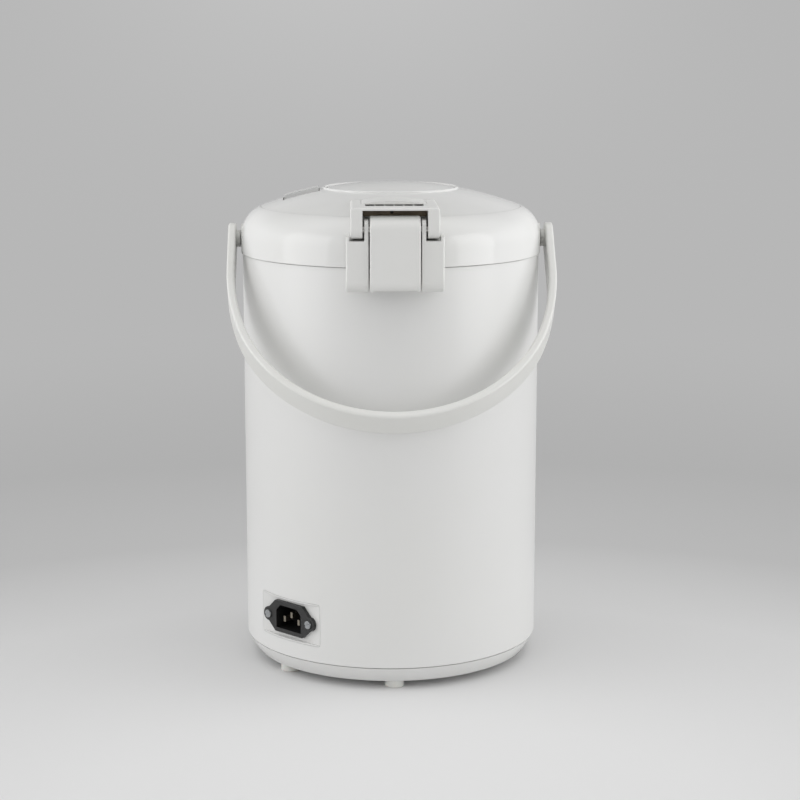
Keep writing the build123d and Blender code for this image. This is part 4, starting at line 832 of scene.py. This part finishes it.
@dataclass
class Spout(SubAssembly):
    """Beak with its panel, buttons and lamps."""

    label: str = "spout"
    panel_y: float = -138.0 * MM
    panel_z: float = 286.986 * MM
    fall: float = 8.0 / 70.0
    button_proud: float = 1.2 * MM
    ink_thickness: float = 0.05 * MM
    button_row: float = 9.0 * MM
    button_column: float = 15.0 * MM
    dispense_row: float = -8.0 * MM
    finishes: dict[str, Finish] = field(default_factory=lambda: {
        "spout_beak": GLOSS_ABS,
        "spout_under_cover": GLOSS_ABS,
        "control_panel": PANEL_FILM,
        "indicator_lenses": AMBER_ACRYLIC,
        "control_board": SOLDER_MASK,
        "dispense_button": BUTTON_ABS,
        "reboil_button": BUTTON_ABS,
        "lock_button": BUTTON_ABS,
    })

    def place(self) -> Matrix:
        """Frame of the panel's face: x across, y to the rear, z out of the panel."""
        turn = math.atan(self.fall)
        across = Vector((1, 0, 0))
        out = Vector((0, -math.sin(turn), math.cos(turn)))
        back = out.cross(across)
        frame_of_panel = Matrix((across, back, out)).transposed().to_4x4()
        frame_of_panel.translation = Vector((0, self.panel_y, self.panel_z))
        return frame_of_panel

    def symbol(self, which: Symbol) -> list[list[Flat]]:
        """Outlines of a symbol round its own middle, in metres.

        Args:
            which: the symbol.

        Returns:
            One or more closed outlines.
        """
        drawn = {Symbol.DROP: self.drop, Symbol.TURN: self.turning_arrow, Symbol.PADLOCK: self.padlock}
        return drawn[which]()

    def drop(self) -> list[list[Flat]]:
        """A round bulb that runs up to a tip."""
        tip, bulb, middle = 3.4 * MM, 2.1 * MM, -0.9 * MM
        first, sweep, steps = 35, 250, 18
        points = [(0.0, tip)]
        for step in range(steps + 1):
            angle = math.radians(first - step * sweep / steps)
            points.append((bulb * math.cos(angle), middle + bulb * math.sin(angle)))
        return [points]

    def turning_arrow(self) -> list[list[Flat]]:
        """Most of a ring, with an arrow's head on its end."""
        outside, inside = 2.9 * MM, 2.2 * MM
        span = self.angles(60, 360)
        outer = [(outside * math.cos(a), outside * math.sin(a)) for a in span]
        inner = [(inside * math.cos(a), inside * math.sin(a)) for a in reversed(span)]
        head = [(1.5 * MM, 0.0), (2.55 * MM, 1.7 * MM), (3.6 * MM, 0.0)]
        return [outer + inner, head]

    def padlock(self) -> list[list[Flat]]:
        """A square body under an arched shackle."""
        half, foot, top = 1.9 * MM, -2.6 * MM, 0.4 * MM
        outside, inside, spring = 1.4 * MM, 0.9 * MM, 1.2 * MM
        span = self.angles(0, 180)
        body = [(-half, foot), (half, foot), (half, top), (-half, top)]
        outer = [(outside * math.cos(a), spring + outside * math.sin(a)) for a in span]
        inner = [(inside * math.cos(a), spring + inside * math.sin(a)) for a in reversed(span)]
        shackle = [(outside, top), *outer, (-outside, top), (-inside, top), *inner, (inside, top)]
        return [body, shackle]

    def angles(self, start: float, end: float) -> list[float]:
        """Evenly spaced angles in radians between two in degrees."""
        count = max(4, int((end - start) / 15))
        return [math.radians(start + (end - start) * index / count) for index in range(count + 1)]

    def print_symbol(self, which: Symbol, x: float, y: float, body: str, finish: Finish) -> bpy.types.Object:
        """Prints a symbol on a button.

        Args:
            which: the symbol.
            x: its place across the panel.
            y: its place along the panel.
            body: the CAD body of the button.
            finish: the ink.

        Returns:
            The printed piece.
        """
        place = self.place()
        low = self.button_proud
        prisms = []
        for outline in self.symbol(which):
            lower = [tuple(place @ Vector((x + u, y + v, low))) for u, v in outline]
            upper = [tuple(place @ Vector((x + u, y + v, low + self.ink_thickness))) for u, v in outline]
            prisms.append((lower, upper))
        printed = joined_prisms(f"{which.value}_symbol", prisms)
        paint(printed, finish)
        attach(printed, body)
        return printed

    def build(self) -> list[bpy.types.Object]:
        """Prints a drop, a turning arrow and a padlock on the three buttons."""
        column = self.button_column
        return [
            self.print_symbol(Symbol.DROP, 0.0, self.dispense_row, "dispense", WHITE_INK),
            self.print_symbol(Symbol.TURN, -column, self.button_row, "reboil", WHITE_INK),
            self.print_symbol(Symbol.PADLOCK, column, self.button_row, "child_lock", WHITE_INK),
        ]


# ------------------------------------------------------------------ studio
@dataclass(frozen=True)
class SoftBox:
    """A lamp round the pot, for the gleam that it leaves on gloss; the room gives the light itself."""

    name: str
    turn: float  # degrees from straight behind the pot, towards +X
    reach: float  # from the pot's axis
    height: float  # of its middle
    size: Flat  # width and height
    power: float  # in watts


@dataclass
class Studio:
    """Camera, lamps, floor and a pale wall round the pot."""

    camera_turn: float = 1.4  # degrees from straight behind, towards +X
    camera_distance: float = 1.3869
    camera_height: float = 0.4463
    camera_pitch: float = 10.70
    camera_yaw: float = 0.273
    focal_mm: float = 87.91
    sensor_mm: float = 36.0
    floor_rings: tuple[float, ...] = (0.004, 0.3, 0.8)
    floor_radius: float = 1.9
    wall_height: float = 2.4
    wall_overlap: float = 0.02  # over the floor's edge
    wall_lift: float = 0.001
    rim_radius: float = 0.9
    rim_steps: int = 12
    turns: int = 96
    # The wall glows at an even tone, and brighter in its middle above the horizon: a painted pool of light.
    wall_tone: str = "#B7B7B7"
    wall_painted_glow_tone: str = "#C5C5C5"  # painted glow in the wall's middle, above the horizon
    painted_glow_half_width: Flat = (0.05, 0.9)  # of the painted glow's full tone, and where it ends
    painted_glow_rise: float = 0.8
    # Painted pool of light on the paper: palest round this centre, greyer further out.
    painted_pool_centre: Point = (0.0, 0.35, 0.0)
    painted_pool_shades: tuple[tuple[float, str], ...] = (
        (0.2, "#E1E1E1"), (0.98, "#B0B0B0"), (0.46, "#D8D8D8"), (0.66, "#BCBCBC"),
    )  # the two ends first, then what lies between them
    paper_fade: Flat = (0.45, 1.5)  # where the paper starts to glow at the wall's tone (painted glow), and where it glows fully
    # Levels of the room's light from the pot's rear round to its spout, each 45 degrees.
    low_glow: tuple[float, ...] = (0.24, 1.29, 2.62, 1.17, 0.4)
    high_glow: tuple[float, ...] = (0.52, 0.91, 1.28, 0.38, 0.12)
    top_glow: float = 1.1
    low_band: Flat = (15.0, 40.0)  # degrees above the horizon over which low gives way to high
    high_band: Flat = (50.0, 75.0)  # the same for high and top
    left_share: float = 0.96  # of the glow on the +X side
    right_share: float = 1.03
    share_reach: float = 0.7
    boxes: tuple[SoftBox, ...] = (
        SoftBox("box_left", 67.0, 1.3, 0.65, (0.92, 1.15), 4.6),
        SoftBox("box_right", -64.0, 1.3, 0.65, (0.74, 1.15), 4.8),
    )

    def camera(self) -> bpy.types.Object:
        """Makes the camera behind the pot, a little above the lid."""
        data = bpy.data.cameras.new("studio_camera")
        data.lens = self.focal_mm
        data.sensor_width = self.sensor_mm
        camera = bpy.data.objects.new("studio_camera", data)
        bpy.context.scene.collection.objects.link(camera)
        turn = math.radians(self.camera_turn)
        camera.location = (
            self.camera_distance * math.sin(turn),
            self.camera_distance * math.cos(turn),
            self.camera_height,
        )
        to_axis = Vector((-math.sin(turn), -math.cos(turn), 0))
        right = to_axis.cross(Vector((0, 0, 1)))
        yaw = math.radians(self.camera_yaw)
        pitch = math.radians(self.camera_pitch)
        level = to_axis * math.cos(yaw) + right * math.sin(yaw)
        gaze = level * math.cos(pitch) - Vector((0, 0, math.sin(pitch)))
        camera.rotation_mode = "QUATERNION"
        camera.rotation_quaternion = gaze.to_track_quat("-Z", "Y")
        bpy.context.scene.camera = camera
        return camera

    def turned(self, name: str, profile: list[Flat]) -> bpy.types.Object:
        """Turns a profile of radius and height round the pot's axis.

        Args:
            name: the object's name.
            profile: the points of the profile, from the inside out.

        Returns:
            The turned sheet, marked as stage.
        """
        points: list[Point] = []
        for radius, height in profile:
            for index in range(self.turns):
                angle = 2 * math.pi * index / self.turns
                points.append((radius * math.cos(angle), radius * math.sin(angle), height))
        faces: list[tuple[int, ...]] = []
        for row in range(len(profile) - 1):
            for index in range(self.turns):
                after = (index + 1) % self.turns
                low = row * self.turns
                high = low + self.turns
                faces.append((low + index, low + after, high + after, high + index))
        sheet = mesh_piece(name, points, faces)
        smooth(sheet, 60.0)
        return sheet

    def floor(self) -> bpy.types.Object:
        """Lays the floor that the pot stands on."""
        sheet = self.turned("studio_floor", [(radius, 0.0) for radius in (*self.floor_rings, self.floor_radius)])
        sheet.data.materials.append(self.paper())
        return sheet

    def wall(self) -> bpy.types.Object:
        """Stands a pale wall all round that only the camera sees, so that it takes no light away. It glows at its
        tone, with a painted brighter glow in its middle above the horizon.
        """
        profile: list[Flat] = [(self.floor_radius - self.wall_overlap, self.wall_lift)]
        for step in range(1, self.rim_steps + 1):
            angle = math.radians(90 * step / self.rim_steps)
            profile.append((
                self.floor_radius + self.rim_radius * math.sin(angle),
                self.rim_radius * (1 - math.cos(angle)),
            ))
        profile.append((self.floor_radius + self.rim_radius, self.rim_radius + self.wall_height))
        sheet = self.turned("studio_wall", profile)
        made = bpy.data.materials.new("backdrop_painted_glow")
        made.use_nodes = True
        tree = made.node_tree
        tree.nodes.remove(tree.nodes["Principled BSDF"])
        place = add(
            tree, "ShaderNodeSeparateXYZ", links={"Vector": add(tree, "ShaderNodeTexCoord").outputs["Object"]}
        )
        across = add(tree, "ShaderNodeMath", {"operation": "ABSOLUTE"}, {0: place.outputs["X"]})
        full, none = self.painted_glow_half_width
        side = add(
            tree,
            "ShaderNodeMapRange",
            {"interpolation_type": "SMOOTHSTEP", "From Min": full, "From Max": none, "To Min": 1.0, "To Max": 0.0},
            {"Value": across.outputs["Value"]},
        )
        rise = add(
            tree,
            "ShaderNodeMapRange",
            {"interpolation_type": "SMOOTHSTEP", "From Min": 0.0, "From Max": self.painted_glow_rise},
            {"Value": place.outputs["Z"], "To Max": side.outputs["Result"]},
        )
        tone = add(
            tree,
            "ShaderNodeMix",
            {"data_type": "RGBA", 6: linear(self.wall_tone), 7: linear(self.wall_painted_glow_tone)},
            {0: rise.outputs["Result"]},
        )
        glow = add(tree, "ShaderNodeEmission", {"Strength": 1.0}, {"Color": tone.outputs[2]})
        tree.links.new(glow.outputs["Emission"], tree.nodes["Material Output"].inputs["Surface"])
        sheet.data.materials.append(made)
        sheet.visible_diffuse = False
        sheet.visible_glossy = False
        sheet.visible_transmission = False
        sheet.visible_shadow = False
        return sheet

    def paper(self) -> bpy.types.Material:
        """Matt pale paper round the pot with a painted pool of light: pale near the pool's centre and greyer
        outwards, then a painted glow at the wall's tone further out.
        """
        made = bpy.data.materials.new("floor_paper_painted_light")
        made.use_nodes = True
        tree = made.node_tree
        shader = tree.nodes["Principled BSDF"]
        shader.inputs["Roughness"].default_value = 0.9
        place = add(tree, "ShaderNodeTexCoord").outputs["Object"]
        # Painted light: the paper's colour follows the distance from the pool's centre.
        pool = add(tree, "ShaderNodeVectorMath", {"operation": "DISTANCE", 1: self.painted_pool_centre}, {0: place})
        ramp = add(tree, "ShaderNodeValToRGB", links={"Fac": pool.outputs["Value"]})
        stops = ramp.color_ramp.elements
        for index, (place_of_stop, code) in enumerate(self.painted_pool_shades):
            stop = stops[index] if index < 2 else stops.new(place_of_stop)
            stop.position, stop.color = place_of_stop, linear(code)
        tree.links.new(ramp.outputs["Color"], shader.inputs["Base Color"])
        reach = add(tree, "ShaderNodeVectorMath", {"operation": "LENGTH"}, {0: place})
        start, end = self.paper_fade
        share = add(
            tree,
            "ShaderNodeMapRange",
            {"From Min": start, "From Max": end, "interpolation_type": "SMOOTHSTEP"},
            {"Value": reach.outputs["Value"]},
        )
        # Painted glow: further out the paper gives off the wall's tone whatever light falls on it.
        glow = add(tree, "ShaderNodeEmission", {"Color": linear(self.wall_tone), "Strength": 1.0})
        both = add(
            tree,
            "ShaderNodeMixShader",
            links={0: share.outputs["Result"], 1: shader.outputs["BSDF"], 2: glow.outputs["Emission"]},
        )
        tree.links.new(both.outputs["Shader"], tree.nodes["Material Output"].inputs["Surface"])
        return made

    def lamp(self, box: SoftBox) -> None:
        """Stands one soft box round the pot, turned to its axis."""
        data = bpy.data.lights.new(box.name, "AREA")
        data.shape = "RECTANGLE"
        data.size, data.size_y = box.size
        data.energy = box.power
        lamp = bpy.data.objects.new(box.name, data)
        bpy.context.scene.collection.objects.link(lamp)
        angle = math.radians(box.turn)
        lamp.location = (box.reach * math.sin(angle), box.reach * math.cos(angle), box.height)
        lamp.rotation_mode = "QUATERNION"
        lamp.rotation_quaternion = (Vector((0, 0, box.height)) - lamp.location).to_track_quat("-Z", "Y")
        lamp.visible_camera = False
        lamp.visible_diffuse = False

    def glow(
        self, tree: bpy.types.NodeTree, turn: bpy.types.NodeSocket, levels: tuple[float, ...]
    ) -> bpy.types.NodeSocket:
        """Runs from one level to the next as the direction turns from the pot's rear to its spout.

        Args:
            tree: the world's nodes.
            turn: 0 behind the pot, 1 in front of it.
            levels: the levels, evenly spaced in turn.

        Returns:
            The level in that direction.
        """
        node = add(tree, "ShaderNodeValToRGB", links={"Fac": turn})
        stops = node.color_ramp.elements
        while len(stops) < len(levels):
            stops.new(0.5)
        for place, (stop, level) in enumerate(zip(stops, levels)):
            stop.position = place / (len(levels) - 1)
            stop.color = (level, level, level, 1.0)
        return node.outputs["Color"]

    def room(self) -> None:
        """Lights the scene from all round and above, most from both sides."""
        world = bpy.data.worlds.new("studio_world")
        bpy.context.scene.world = world
        world.use_nodes = True
        tree = world.node_tree
        place = add(tree, "ShaderNodeTexCoord").outputs["Generated"]
        way = add(tree, "ShaderNodeSeparateXYZ", links={"Vector": place})
        across = add(tree, "ShaderNodeMath", {"operation": "ABSOLUTE"}, {0: way.outputs["X"]})
        angle = add(
            tree, "ShaderNodeMath", {"operation": "ARCTAN2"}, {0: across.outputs["Value"], 1: way.outputs["Y"]}
        )
        turn = add(tree, "ShaderNodeMath", {"operation": "DIVIDE", 1: math.pi}, {0: angle.outputs["Value"]})
        level = self.glow(tree, turn.outputs["Value"], self.low_glow)
        upper = self.glow(tree, turn.outputs["Value"], self.high_glow)
        for (start, end), settings, links in (
            (self.low_band, {}, {"To Max": upper}),
            (self.high_band, {"To Max": self.top_glow}, {}),
        ):
            blend = add(
                tree,
                "ShaderNodeMapRange",
                {
                    "interpolation_type": "SMOOTHSTEP",
                    "From Min": math.sin(math.radians(start)),
                    "From Max": math.sin(math.radians(end)),
                    **settings,
                },
                {"Value": way.outputs["Z"], "To Min": level, **links},
            )
            level = blend.outputs["Result"]
        far = self.share_reach
        share = add(
            tree,
            "ShaderNodeMapRange",
            {"From Min": -far, "From Max": far, "To Min": self.right_share, "To Max": self.left_share},
            {"Value": way.outputs["X"]},
        )
        whole = add(
            tree, "ShaderNodeMath", {"operation": "MULTIPLY"}, {0: level, 1: share.outputs["Result"]}
        )
        sky = tree.nodes["Background"]
        sky.inputs["Color"].default_value = linear("#FFFFFF")
        tree.links.new(whole.outputs["Value"], sky.inputs["Strength"])

    def make(self) -> None:
        """Sets the studio up."""
        self.camera()
        self.floor()
        self.wall()
        for box in self.boxes:
            self.lamp(box)
        self.room()
        bpy.context.scene.view_settings.view_transform = "Standard"
        log.info("studio: camera, floor, wall, two boxes and a soft room")


def main() -> None:
    """Builds the studio and every sub-assembly."""
    logging.basicConfig(level=logging.INFO, format="%(name)s: %(message)s")
    Studio().make()
    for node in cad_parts.values():
        smooth(node)
    for group in (
        SwivelBase(), Casing(), InnerPot(), WaterWay(), LevelWindow(), MainsInlet(), Hinge(), Lid(), Bail(), Spout(),
    ):
        group.make()


if __name__ == "__main__":
    main()
